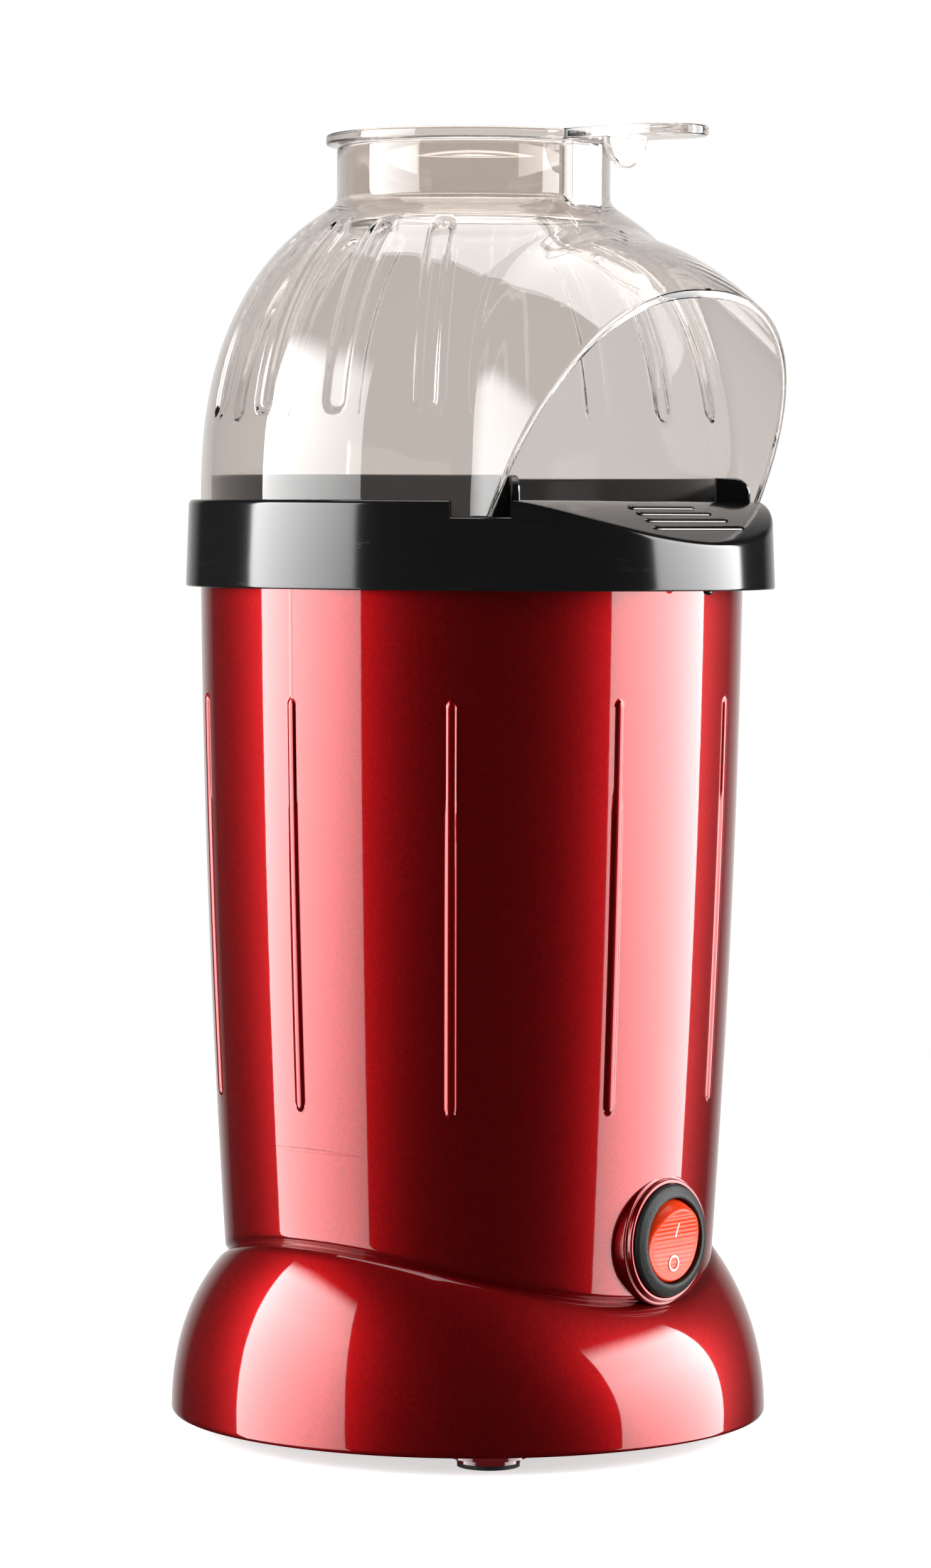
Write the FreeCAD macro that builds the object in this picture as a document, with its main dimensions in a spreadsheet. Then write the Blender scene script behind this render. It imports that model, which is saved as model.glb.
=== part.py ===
"""Hot-air popcorn maker, in millimetres.

The origin is on the machine's upright axis at the level of the table, +Z is up and the spout faces -Y.
Angles called "turn" are counted from the front, positive towards +X.
"""

import FreeCAD, Part
import math
import os
from types import SimpleNamespace

from FreeCAD import Placement, Rotation, Vector
import Sketcher

# ---------------------------------------------------------------- sizes

SIZES = {
    # red shell: a tapered barrel on a flared foot
    "foot_lift": 3.8,
    "skirt_radius": 62.1,
    "crease_level": 37.1,
    "crease_wave": 6.1,
    "waist_radius": 51.0,
    "waist_level": 38.8,
    "shell_height": 178.8,
    "shell_top_radius": 56.3,
    "shell_bulge": 0.85,
    "shell_wall": 2.2,
    "bead_width": 2.1,
    "bead_proud": 0.55,
    "bead_low": 70.4,
    "bead_length": 83.3,
    # black collar
    "collar_height": 17.9,
    "collar_overlap": 7.1,
    "collar_gap": 0.3247,
    "collar_wall": 2.5,
    "collar_draft": 0.6,
    "deck_clearance": 0.4,
    "groove_depth": 5.0,
    "ring_width": 2.0,
    "ring_height": 5.0,
    "nose_overhang": 6.8,
    "nose_tightening": 9.2,
    "tray_drop": 8.9,
    "notch_depth": 3.3,
    "wing_thickness": 1.8,
    # clear cover
    "cover_wall": 1.6,
    "cover_gap": 0.35,
    "dome_height": 66.1,
    "dome_power": 2.35,
    "flute_width": 4.6,
    "flute_depth": 0.8,
    "flute_low": 16.8,
    "flute_length": 38.4,
    "neck_radius": 28.3,
    "neck_height": 72.2,
    "hood_width": 87.4,
    "hood_reach": 26.0,
    "hood_foot_reach": 5.0,
    "hood_rise": 54.1,
    "hood_drop": 12.2,
    "hood_wall": 2.0,
    # measuring cup
    "cup_gap": 0.4,
    "cup_wall": 1.5,
    "cup_depth": 20.0,
    "rim_radius": 30.6,
    "rim_thickness": 2.1,
    "tab_reach": 59.0,
    "tab_radius": 8.5,
    "fin_radius": 6.5,
    "fin_reach": 39.0,
    # popping chamber and its sleeve
    "chamber_radius": 43.0,
    "chamber_depth": 70.0,
    "chamber_wall": 0.8,
    "seal_thickness": 0.8,
    "louvre_width": 2.4,
    "louvre_length": 13.0,
    "sleeve_radius": 46.6,
    "sleeve_wall": 0.5,
    "screw_radius": 1.4,
    "screw_head": 2.0,
    # heater
    "mica_thickness": 0.8,
    "mica_height": 25.0,
    "coil_radius": 37.0,
    "coil_wire": 1.3,
    # fan and motor
    "fan_floor": 62.0,
    "fan_housing_height": 22.0,
    "fan_housing_radius": 45.6,
    "fan_housing_wall": 1.2,
    "inlet_radius": 24.0,
    "impeller_radius": 38.0,
    "impeller_height": 14.0,
    "impeller_lift": 4.0,
    "blade_thickness": 1.0,
    "motor_radius": 14.0,
    "motor_length": 36.0,
    "bracket_thickness": 1.4,
    "shaft_radius": 1.15,
    "running_gap": 0.03,
    "armature_radius": 10.0,
    "armature_length": 18.0,
    "board_radius": 12.0,
    # base plate and feet
    "plate_thickness": 2.5,
    "plate_recess": 0.6,
    "plate_gap": 0.4,
    "foot_circle": 48.0,
    "foot_radius": 7.9,
    "pad_radius": 6.3,
    "pad_thickness": 0.9,
    "base_screw_circle": 51.5,
    "post_radius": 4.0,
    "post_height": 17.0,
    "intake_slot": 2.6,
    # rocker switch
    "switch_level": 43.6,
    "switch_standoff": 1.314,
    "bezel_radius": 11.5,
    "bezel_height": 2.3,
    "switch_body_radius": 9.85,
    "switch_depth": 16.0,
    "rocker_window": 8.65,
    "rocker_radius": 8.96,
    "rocker_tilt": 20.0,
    # cord inlet
    "inlet_level": 17.0,
    "cord_bore": 3.4,
    "gland_radius": 5.6,
    "gland_flange": 8.0,
}

BEADS = 10
FLUTE_TURNS = [step * 20.0 for step in range(3, 16)]
LOUVRES = 12
BLADES = 10
FOOT_TURNS = {"front_right": 45.0, "back_right": 135.0, "back_left": 225.0, "front_left": 315.0}
POST_TURNS = [20.0, 110.0, 200.0, 290.0]
CHAMBER_SCREW_TURNS = [60.0, 180.0, 300.0]

doc = FreeCAD.newDocument("popcorn_maker")
sheet = doc.addObject("Spreadsheet::Sheet", "Sizes")
for row, (alias, value) in enumerate(SIZES.items(), 1):
    sheet.set(f"A{row}", alias)
    sheet.set(f"B{row}", str(value))
    sheet.setAlias(f"B{row}", alias)
doc.recompute()


class Size:
    """A length that keeps both its number and the formula that ties it to the sheet."""

    def __init__(self, number, formula):
        self.number = float(number)
        self.formula = formula

    def __float__(self):
        return self.number

    def __add__(self, other):
        return Size(self.number + float(other), f"({self.formula} + {formula_of(other)})")

    def __radd__(self, other):
        return Size(float(other) + self.number, f"({formula_of(other)} + {self.formula})")

    def __sub__(self, other):
        return Size(self.number - float(other), f"({self.formula} - {formula_of(other)})")

    def __rsub__(self, other):
        return Size(float(other) - self.number, f"({formula_of(other)} - {self.formula})")

    def __mul__(self, other):
        return Size(self.number * float(other), f"({self.formula} * {formula_of(other)})")

    def __rmul__(self, other):
        return Size(float(other) * self.number, f"({formula_of(other)} * {self.formula})")

    def __truediv__(self, other):
        return Size(self.number / float(other), f"({self.formula} / {formula_of(other)})")

    def __neg__(self):
        return Size(-self.number, f"(0 - {self.formula})")


def formula_of(length):
    """The text of a length for the expression engine."""
    return length.formula if isinstance(length, Size) else f"({float(length):.6f})"


s = SimpleNamespace(**{alias: Size(sheet.get(alias), f"Sizes.{alias}") for alias in SIZES})

# Levels and radii that follow from the driving sizes
shell_top = s.foot_lift + s.shell_height
collar_bottom = shell_top - s.collar_overlap
collar_top = collar_bottom + s.collar_height
barrel_taper = (s.shell_top_radius - s.waist_radius) / (collar_bottom - s.waist_level)
barrel_rim = s.shell_top_radius + barrel_taper * s.collar_overlap
collar_inside = barrel_rim + s.collar_gap
collar_radius = collar_inside + s.collar_wall
collar_top_radius = collar_radius - s.collar_draft
nose_reach = collar_radius + s.nose_overhang
nose_radius = collar_radius - s.nose_tightening
deck_under = shell_top + s.deck_clearance
cover_radius = s.shell_top_radius
cover_foot = collar_top - s.groove_depth + s.cover_gap
ring_outer = cover_radius - s.cover_wall - s.cover_gap
ring_inner = ring_outer - s.ring_width
ring_top = collar_top + s.ring_height
dome_base = collar_top + 0.8
neck_top = dome_base + s.neck_height
neck_bore = s.neck_radius - s.cover_wall
hood_foot = collar_top - s.notch_depth + s.cover_gap
cup_radius = neck_bore - s.cup_gap
rim_under = neck_top + 0.3
cup_bottom = neck_top - s.cup_depth + 2.4
chamber_rim = deck_under - s.seal_thickness
chamber_floor = chamber_rim - s.chamber_depth
sleeve_top = chamber_rim - s.chamber_wall
chamber_screw_circle = s.sleeve_radius + s.sleeve_wall + s.screw_head + 0.2
chamber_flange = chamber_screw_circle + s.screw_head + 0.3
housing_top = s.fan_floor + s.fan_housing_height
motor_top = s.fan_floor - s.bracket_thickness
motor_bottom = motor_top - s.motor_length
impeller_bottom = s.fan_floor + s.fan_housing_wall + s.impeller_lift
impeller_top = impeller_bottom + s.impeller_height
shaft_bottom = motor_bottom - 3.0
bush_bore = s.shaft_radius + s.running_gap
plate_under = s.foot_lift + s.plate_recess
plate_top = plate_under + s.plate_thickness
plate_radius = s.skirt_radius - s.shell_wall - s.plate_gap
switch_face = s.waist_radius + barrel_taper * (s.switch_level - s.waist_level) + s.switch_standoff
bezel_face = switch_face + s.bezel_height
switch_back = switch_face - s.switch_depth
pivot_reach = bezel_face - 4.3
gland_seat = s.skirt_radius + 0.1

# Turns that follow from where the hood's mouth meets the collar
hood_side = float(s.hood_width) / 2
hood_start = math.sqrt(float(cover_radius) ** 2 - hood_side ** 2)
mouth_turn = math.degrees(math.atan2(hood_side, hood_start + float(s.hood_foot_reach)))
WING_TURN = mouth_turn - 4.68
NOTCH_TURNS = (mouth_turn - 5.78, mouth_turn + 7.22)

# ---------------------------------------------------------------- helpers

FRONT = Vector(0, -1, 0)
BACK = Vector(0, 1, 0)
UP = Vector(0, 0, 1)
SIDE = Vector(1, 0, 0)
parts = {}


def keep(label, thing):
    """Name a finished piece; the name is also its file's."""
    thing.Label = label
    parts[label] = thing
    return thing


def bind(thing, **lengths):
    """Tie properties to the sheet."""
    for name, length in lengths.items():
        setattr(thing, name, float(length))
        if isinstance(length, Size):
            thing.setExpression(name, length.formula)
    return thing


def place(thing, at=(0, 0, 0), along=UP, spin=0.0):
    """Turn a piece's own +Z towards a direction, after a spin about it, and tie its place to the sheet."""
    turning = Rotation(UP, Vector(along)) * Rotation(UP, spin)
    thing.Placement = Placement(Vector(*[float(c) for c in at]), turning)
    for axis, length in zip("xyz", at):
        if isinstance(length, Size):
            thing.setExpression(f".Placement.Base.{axis}", length.formula)
    return thing


def around(radius, turn, level):
    """A point at a radius and a turn from the front."""
    angle = math.radians(turn)
    return (radius * math.sin(angle), radius * -math.cos(angle), level)


def rod(name, radius, length, at=(0, 0, 0), along=UP, sweep=360.0, spin=0.0):
    thing = doc.addObject("Part::Cylinder", name)
    bind(thing, Radius=radius, Height=length)
    thing.Angle = sweep
    return place(thing, at, along, spin)


def block(name, width, depth, height, at=(0, 0, 0), spin=0.0):
    """A box with its middle at the given point in X and Y, and its underside at the point's level."""
    thing = doc.addObject("Part::Box", name)
    bind(thing, Length=width, Width=depth, Height=height)
    turning = Rotation(UP, spin)
    corner = Vector(-float(width) / 2, -float(depth) / 2, 0)
    corner = turning.multVec(corner)
    base = (at[0] + corner.x, at[1] + corner.y, at[2])
    if not spin:
        base = (at[0] - width / 2, at[1] - depth / 2, at[2])
    return place(thing, base, UP, spin)


def joined(name, things):
    thing = doc.addObject("Part::MultiFuse", name)
    thing.Shapes = things
    return thing


def less(name, base, tools):
    thing = doc.addObject("Part::Cut", name)
    thing.Base = base
    thing.Tool = tools[0] if len(tools) == 1 else joined(f"{name}_cutters", tools)
    return thing


def grouped(name, things):
    """Separate solids that share one node."""
    thing = doc.addObject("Part::Compound", name)
    thing.Links = things
    return thing


def shaped(label, shape):
    """A piece whose form needs Part's own functions."""
    thing = doc.addObject("Part::Feature", label)
    thing.Shape = shape
    return keep(label, thing)


def origin_plane(body, role):
    return next(f for f in body.Origin.OriginFeatures if f.Role == role)


def outline(sketch, points):
    """A closed outline of straight lines, each corner tied to the sheet or lying on the upright axis."""
    spots = [Vector(float(x), float(y), 0) for x, y in points]
    for start, end in zip(spots, spots[1:] + spots[:1]):
        sketch.addGeometry(Part.LineSegment(start, end), False)
    count = len(points)
    for i in range(count):
        sketch.addConstraint(Sketcher.Constraint("Coincident", i, 2, (i + 1) % count, 1))
    for i, (x, y) in enumerate(points):
        if float(x) == 0.0:
            sketch.addConstraint(Sketcher.Constraint("PointOnObject", i, 1, -2))
        else:
            number = sketch.addConstraint(Sketcher.Constraint("DistanceX", -1, 1, i, 1, float(x)))
            sketch.setExpression(f"Constraints[{number}]", formula_of(x))
        if float(y) == 0.0:
            sketch.addConstraint(Sketcher.Constraint("PointOnObject", i, 1, -1))
        else:
            number = sketch.addConstraint(Sketcher.Constraint("DistanceY", -1, 1, i, 1, float(y)))
            sketch.setExpression(f"Constraints[{number}]", formula_of(y))


def sketched(body, name, role, points):
    sketch = body.newObject("Sketcher::SketchObject", name)
    sketch.AttachmentSupport = [(origin_plane(body, role), "")]
    sketch.MapMode = "FlatFace"
    outline(sketch, points)
    return sketch


def turned(name, points, at=(0, 0, 0), along=UP):
    """A round piece: an outline of (radius, level) corners revolved about its own axis."""
    body = doc.addObject("PartDesign::Body", name)
    sketch = sketched(body, f"{name}_outline", "XZ_Plane", points)
    revolution = body.newObject("PartDesign::Revolution", f"{name}_turned")
    revolution.Profile = sketch
    revolution.ReferenceAxis = (sketch, ["V_Axis"])
    revolution.Angle = 360.0
    sketch.Visibility = False
    return place(body, at, along)


def tube(name, outer, inner, low, high, at=(0, 0, 0), along=UP):
    return turned(name, [(inner, low), (outer, low), (outer, high), (inner, high)], at, along)


# ---------------------------------------------------------------- curved shapes


def barrel_radius(level):
    """The barrel's radius at a level: a straight taper plus a parabola that swells the middle."""
    rise = float(collar_bottom) - float(s.waist_level)
    share = (level - float(s.waist_level)) / rise
    taper = float(s.shell_top_radius) - float(s.waist_radius)
    return float(s.waist_radius) + taper * share + 4 * float(s.shell_bulge) * share * (1 - share)


def barrel(inset, low, high):
    """The barrel as a solid of revolution between two levels. A parabola is one curve of degree two."""
    step = 0.01
    slope = (barrel_radius(low + step) - barrel_radius(low)) / step
    middle = barrel_radius(low) + slope * (high - low) / 2
    curve = Part.BezierCurve()
    curve.setPoles([
        Vector(barrel_radius(low) - inset, 0, low),
        Vector(middle - inset, 0, (low + high) / 2),
        Vector(barrel_radius(high) - inset, 0, high),
    ])
    side = curve.toShape()
    foot = Part.makeLine(Vector(0, 0, low), side.valueAt(side.FirstParameter))
    head = Part.makeLine(side.valueAt(side.LastParameter), Vector(0, 0, high))
    axis = Part.makeLine(Vector(0, 0, high), Vector(0, 0, low))
    face = Part.Face(Part.Wire([foot, side, head, axis]))
    return face.revolve(Vector(0, 0, 0), UP, 360)


def flare(inset):
    """The flared foot: a cubic profile that swells down to the skirt, whose top edge rises and falls twice a turn.

    Its surface is one periodic spline. The poles of an even periodic cubic lie outside the curve: a wave of m
    periods in n poles is drawn in by (2 + cos(2 pi m / n)) / 3, so the poles are pushed out by its inverse.
    """
    count = 24
    swell = 3 / (2 + math.cos(2 * math.pi / count))
    wave = 3 / (2 + math.cos(4 * math.pi / count)) * float(s.crease_wave)
    bottom = float(s.foot_lift) - (1.0 if inset else 0.0)
    tuck = 1.5
    slant = inset / math.sqrt(2)
    rows = []
    for i in range(count):
        angle = 2 * math.pi * i / count
        crease = float(s.crease_level) - wave * math.cos(2 * angle)
        waist = barrel_radius(crease)
        spread = float(s.skirt_radius) - waist
        rise = crease - float(s.foot_lift)
        profile = [
            (float(s.skirt_radius) - inset, bottom),
            (float(s.skirt_radius) - inset, float(s.foot_lift) + 0.42 * rise),
            (waist + 0.66 * spread - slant, float(s.foot_lift) + 0.79 * rise - slant),
            (waist - tuck - slant, crease + tuck - slant),
        ]
        rows.append([Vector(swell * r * math.sin(angle), -swell * r * math.cos(angle), z) for r, z in profile])
    surface = Part.BSplineSurface()
    knots = [float(k) for k in range(count + 1)]
    surface.buildFromPolesMultsKnots(rows, [1] * (count + 1), [4, 4], knots, [0.0, 1.0], True, False, 3, 3)
    side = surface.toShape()
    low_edge = surface.vIso(0.0).toShape()
    crest = [row[3] for row in rows]
    hub = [Vector(v.x * 0.4, v.y * 0.4, float(s.crease_level)) for v in crest]
    lid = Part.BSplineSurface()
    lid.buildFromPolesMultsKnots([[a, b] for a, b in zip(crest, hub)], [1] * (count + 1), [2, 2], knots,
                                 [0.0, 1.0], True, False, 3, 1)
    hub_edge = lid.vIso(1.0).toShape()
    faces = [side, lid.toShape(), Part.Face(Part.Wire([low_edge])), Part.Face(Part.Wire([hub_edge]))]
    shell = Part.makeShell(faces)
    shell.sewShape()
    solid = Part.Solid(shell)
    if solid.Volume < 0:
        solid.reverse()
    return solid


def radial_slot(width, low, high, near, far, turn):
    """A bar with round ends, seen from outside as a slot, that runs outwards from the axis."""
    half = width / 2
    left = Part.makeLine(Vector(-half, -near, high - half), Vector(-half, -near, low + half))
    foot = Part.Arc(Vector(-half, -near, low + half), Vector(0, -near, low), Vector(half, -near, low + half))
    right = Part.makeLine(Vector(half, -near, low + half), Vector(half, -near, high - half))
    head = Part.Arc(Vector(half, -near, high - half), Vector(0, -near, high), Vector(-half, -near, high - half))
    face = Part.Face(Part.Wire([left, foot.toShape(), right, head.toShape()]))
    bar = face.extrude(FRONT * (far - near))
    bar.rotate(Vector(0, 0, 0), UP, turn)
    return bar


def cylinder(radius, length, at, along=UP):
    return Part.makeCylinder(radius, length, Vector(*[float(c) for c in at]), along)


def slab(low, high):
    """A box from its lowest to its highest corner."""
    low, high = Vector(*low), Vector(*high)
    size = high - low
    return Part.makeBox(size.x, size.y, size.z, low)


# ---------------------------------------------------------------- red shell


def make_body_shell():
    """Barrel and flare in one moulding, with raised beads, the switch's boss, the gland's seat and screw posts."""
    wall = float(s.shell_wall)
    low, high = float(s.foot_lift), float(shell_top)
    hull = barrel(0.0, low + 2, high).fuse(flare(0.0))
    hollow = barrel(wall, low - 2, high + 1).fuse(flare(wall))
    bead_high = float(s.bead_low) + float(s.bead_length)
    bars = [
        radial_slot(float(s.bead_width), float(s.bead_low), bead_high, 40, 80, (i + 0.5) * 360 / BEADS)
        for i in range(BEADS)
    ]
    beads = barrel(-float(s.bead_proud), float(s.bead_low) - 5, bead_high + 5).common(bars[0].fuse(bars[1:]))
    boss_at = (0, -40, float(s.switch_level))
    face = float(switch_face)
    lip = float(s.bezel_radius) + 1.0
    boss = cylinder(lip, face + 0.7 - 40, boss_at, FRONT)
    step = cylinder(lip + 0.8, face - 0.5 - 40, boss_at, FRONT)
    seat = cylinder(float(s.gland_flange) + 1, float(gland_seat) - 40, (0, 40, float(s.inlet_level)), BACK)
    shell = hull.fuse([beads, boss, step, seat]).cut(hollow)
    posts = []
    for turn in POST_TURNS:
        post = cylinder(float(s.post_radius), float(s.post_height), (0, -float(s.base_screw_circle), float(plate_top)))
        web = slab((-1, -float(s.skirt_radius), float(plate_top)),
                   (1, -float(s.base_screw_circle), float(plate_top) + float(s.post_height)))
        post = post.fuse(web)
        post.rotate(Vector(0, 0, 0), UP, turn)
        posts.append(post.common(hull))
    shell = shell.fuse(posts)
    cuts = [
        cylinder(float(s.bezel_radius) + 0.2, 5, (0, -face, float(s.switch_level)), FRONT),
        cylinder(float(s.switch_body_radius) + 0.15, 30, (0, -35, float(s.switch_level)), FRONT),
        cylinder(float(s.gland_radius), 30, (0, 40, float(s.inlet_level)), BACK),
    ]
    for turn in POST_TURNS:
        centre = around(float(s.base_screw_circle), turn, float(plate_top) - 1)
        cuts.append(cylinder(float(s.screw_radius), 13, centre))
    return shaped("body_shell", shell.cut(cuts).removeSplitter())


# ---------------------------------------------------------------- collar


def collar_outline(radius, level):
    """The collar's plan: a circle drawn out to a smaller circle at the nose, with straight tangents between."""
    offset = float(collar_radius) - radius
    nose = float(nose_radius) - offset
    centre = float(nose_reach) - float(nose_radius)
    lean = math.acos((radius - nose) / centre)
    sin, cos = math.sin(lean), math.cos(lean)
    back_right, back_left = Vector(radius * sin, -radius * cos, level), Vector(-radius * sin, -radius * cos, level)
    front_right = Vector(nose * sin, -centre - nose * cos, level)
    front_left = Vector(-nose * sin, -centre - nose * cos, level)
    return Part.Wire([
        Part.Arc(back_right, Vector(0, radius, level), back_left).toShape(),
        Part.makeLine(back_left, front_left),
        Part.Arc(front_left, Vector(0, -centre - nose, level), front_right).toShape(),
        Part.makeLine(front_right, back_right),
    ])


def swept_ring(inner, outer, low, high):
    """A ring that runs round the back from one wing to the other and leaves the front open."""
    face = Part.Face(Part.makePolygon([
        Vector(0, -inner, low), Vector(0, -outer, low), Vector(0, -outer, high), Vector(0, -inner, high),
        Vector(0, -inner, low)]))
    face.rotate(Vector(0, 0, 0), UP, WING_TURN)
    return face.revolve(Vector(0, 0, 0), UP, 360 - 2 * WING_TURN)


def tray_level(forward):
    """The tray falls faster and faster from the wings to the nose."""
    start = float(collar_top_radius) * math.cos(math.radians(WING_TURN)) + 0.4
    share = max(0.0, (forward - start) / (float(nose_reach) - start))
    return float(collar_top) - float(s.tray_drop) * share ** 1.45


def above_tray(lift):
    """Everything over the tray's surface, raised by a lift."""
    start = float(collar_top_radius) * math.cos(math.radians(WING_TURN)) + 0.4
    reach = float(nose_reach) + 4
    curve = Part.BSplineCurve()
    steps = 6
    curve.interpolate([
        Vector(-90, -(start + (reach - start) * i / steps), tray_level(start + (reach - start) * i / steps) + lift)
        for i in range(steps + 1)])
    side = curve.toShape()
    first, last = side.valueAt(side.FirstParameter), side.valueAt(side.LastParameter)
    high = float(ring_top) + 5
    top_front, top_back = Vector(-90, last.y, high), Vector(-90, first.y, high)
    face = Part.Face(Part.Wire([side, Part.makeLine(last, top_front), Part.makeLine(top_front, top_back),
                                Part.makeLine(top_back, first)]))
    return face.extrude(SIDE * 180)


def notch(near, side, first, last):
    """The room for a tip of the hood: a sector cut down from the collar's top, on one side, between two turns."""
    low, high, far = float(collar_top) - float(s.notch_depth), float(collar_top) + 1, float(nose_reach)
    face = Part.Face(Part.makePolygon([
        Vector(0, -near, low), Vector(0, -far, low), Vector(0, -far, high), Vector(0, -near, high),
        Vector(0, -near, low)]))
    face.rotate(Vector(0, 0, 0), UP, first if side > 0 else -last)
    return face.revolve(Vector(0, 0, 0), UP, last - first)


def make_collar():
    """One black moulding: skirt, deck with the cover's groove, inner ring with two wings, notches and tray."""
    low, high, under = float(collar_bottom), float(collar_top), float(deck_under)
    hull = Part.makeLoft([collar_outline(float(collar_radius), low),
                          collar_outline(float(collar_top_radius), high - 0.5),
                          collar_outline(float(collar_top_radius) - 0.5, high)], True, True)
    room = Part.Face(collar_outline(float(collar_inside), low - 1)).extrude(UP * (under - low + 1))
    bore = float(s.chamber_radius) + 1.2
    groove_floor = high - float(s.groove_depth)
    body = hull.cut([room, cylinder(bore, 40, (0, 0, under - 1))])
    inner, outer = float(ring_inner), float(ring_outer)
    funnel = Part.Face(Part.makePolygon([
        Vector(bore - 1, 0, under + 2.0), Vector(inner, 0, under + 4.0), Vector(inner, 0, high + 1),
        Vector(bore - 1, 0, high + 1), Vector(bore - 1, 0, under + 2.0)])).revolve(Vector(0, 0, 0), UP, 360)
    ring_front = inner * math.cos(math.radians(WING_TURN))
    behind_ring = slab((-90, -ring_front, 0), (90, 90, 300))
    groove = swept_ring(outer, float(cover_radius) + float(s.cover_gap), groove_floor, high + 1)
    body = body.cut([funnel.common(behind_ring), groove])
    ring = swept_ring(inner, outer, under + 1, float(ring_top))
    body = body.cut(above_tray(0.0)).fuse(ring)
    half = float(s.wing_thickness) / 2
    tip = float(cover_radius) + 1.6
    rounding = 3.5
    top = float(ring_top)
    for side in (-1, 1):
        corner = Part.Arc(Vector(0, -tip, top - rounding),
                          Vector(0, -tip + rounding * (1 - math.sqrt(0.5)), top - rounding * (1 - math.sqrt(0.5))),
                          Vector(0, -tip + rounding, top))
        face = Part.Face(Part.Wire([
            Part.makeLine(Vector(0, -inner, high - 3.2), Vector(0, -tip, high - 3.2)),
            Part.makeLine(Vector(0, -tip, high - 3.2), Vector(0, -tip, top - rounding)),
            corner.toShape(),
            Part.makeLine(Vector(0, -tip + rounding, top), Vector(0, -inner, top)),
            Part.makeLine(Vector(0, -inner, top), Vector(0, -inner, high - 3.2))]))
        wing = face.extrude(SIDE * (2 * half))
        wing.translate(Vector(-half, 0, 0))
        wing.rotate(Vector(0, 0, 0), UP, side * (WING_TURN - 1.0))
        body = body.fuse(wing)
        for near, first in ((tip + 0.1, NOTCH_TURNS[0]), (float(cover_radius), NOTCH_TURNS[0] + 2.6)):
            body = body.cut(notch(near, side, first, NOTCH_TURNS[1]))
    ribs = [slab((-11 - 1.5 * i, -(float(nose_reach) - 15.6 + 3.2 * i), low + 5),
                 (11 + 1.5 * i, -(float(nose_reach) - 17.0 + 3.2 * i), float(ring_top) + 4)) for i in range(4)]
    grip = above_tray(-0.3).cut(above_tray(0.5)).common(ribs[0].fuse(ribs[1:]))
    body = body.fuse(grip)
    nub = slab((-1.2, -float(collar_radius) - 3.4, low - 0.9), (1.2, -float(collar_radius) - 1.8, low + 0.4))
    body = body.fuse(nub)
    holes = [cylinder(float(s.screw_radius), 2.3, around(float(chamber_screw_circle), turn, under - 1))
             for turn in CHAMBER_SCREW_TURNS]
    return shaped("collar", body.cut(holes).removeSplitter())


# ---------------------------------------------------------------- clear cover


def dome(inset):
    """The dome as a solid of revolution: a superellipse on a short straight skirt."""
    radius, height = float(cover_radius) - inset, float(s.dome_height) - inset
    power = 2 / float(s.dome_power)
    base, foot = float(dome_base), float(cover_foot) - (1.0 if inset > float(s.flute_depth) else 0.0)
    steps = 12
    points = []
    for i in range(steps + 1):
        angle = math.radians(82) * i / steps
        points.append(Vector(radius * math.cos(angle) ** power, 0, base + height * math.sin(angle) ** power))
    curve = Part.BSplineCurve()
    curve.interpolate(points, InitialTangent=Vector(0, 0, 1), FinalTangent=points[-1] - points[-2])
    side = curve.toShape()
    top = Vector(0, 0, points[-1].z)
    face = Part.Face(Part.Wire([
        Part.makeLine(Vector(0, 0, foot), Vector(radius, 0, foot)), Part.makeLine(Vector(radius, 0, foot), points[0]),
        side, Part.makeLine(points[-1], top), Part.makeLine(top, Vector(0, 0, foot))]))
    return face.revolve(Vector(0, 0, 0), UP, 360)


def hood_section(share, inset):
    """One arch of the hood: a superellipse that leans forward more towards the mouth."""
    half = float(s.hood_width) / 2 - inset
    forward = max(share, 0.0)
    rise = float(s.hood_rise) + float(s.notch_depth) - float(s.hood_drop) * forward ** 1.6 - inset
    foot_reach = hood_start + float(s.hood_foot_reach if share > 0 else s.hood_reach) * share
    lean = (float(s.hood_reach) - float(s.hood_foot_reach)) * forward
    power = 2 / (2.6 - 0.25 * forward)
    steps = 16
    arch = []
    for i in range(steps + 1):
        angle = math.pi * i / steps
        across = math.copysign(abs(math.cos(angle)) ** power, math.cos(angle)) * half
        share_up = abs(math.sin(angle)) ** power
        arch.append(Vector(across, -(foot_reach + lean * share_up), float(hood_foot) + rise * share_up))
    curve = Part.BSplineCurve()
    curve.interpolate(arch)
    return Part.Wire([curve.toShape(), Part.makeLine(arch[-1], arch[0])])


def hood(inset, last):
    """The hood as a solid, from inside the dome to a share of its reach."""
    shares = (-0.45, -0.3, -0.15, 0.0, 0.2, 0.4, 0.6, 0.8, last)
    return Part.makeLoft([hood_section(share, inset) for share in shares], True, False)


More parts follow.
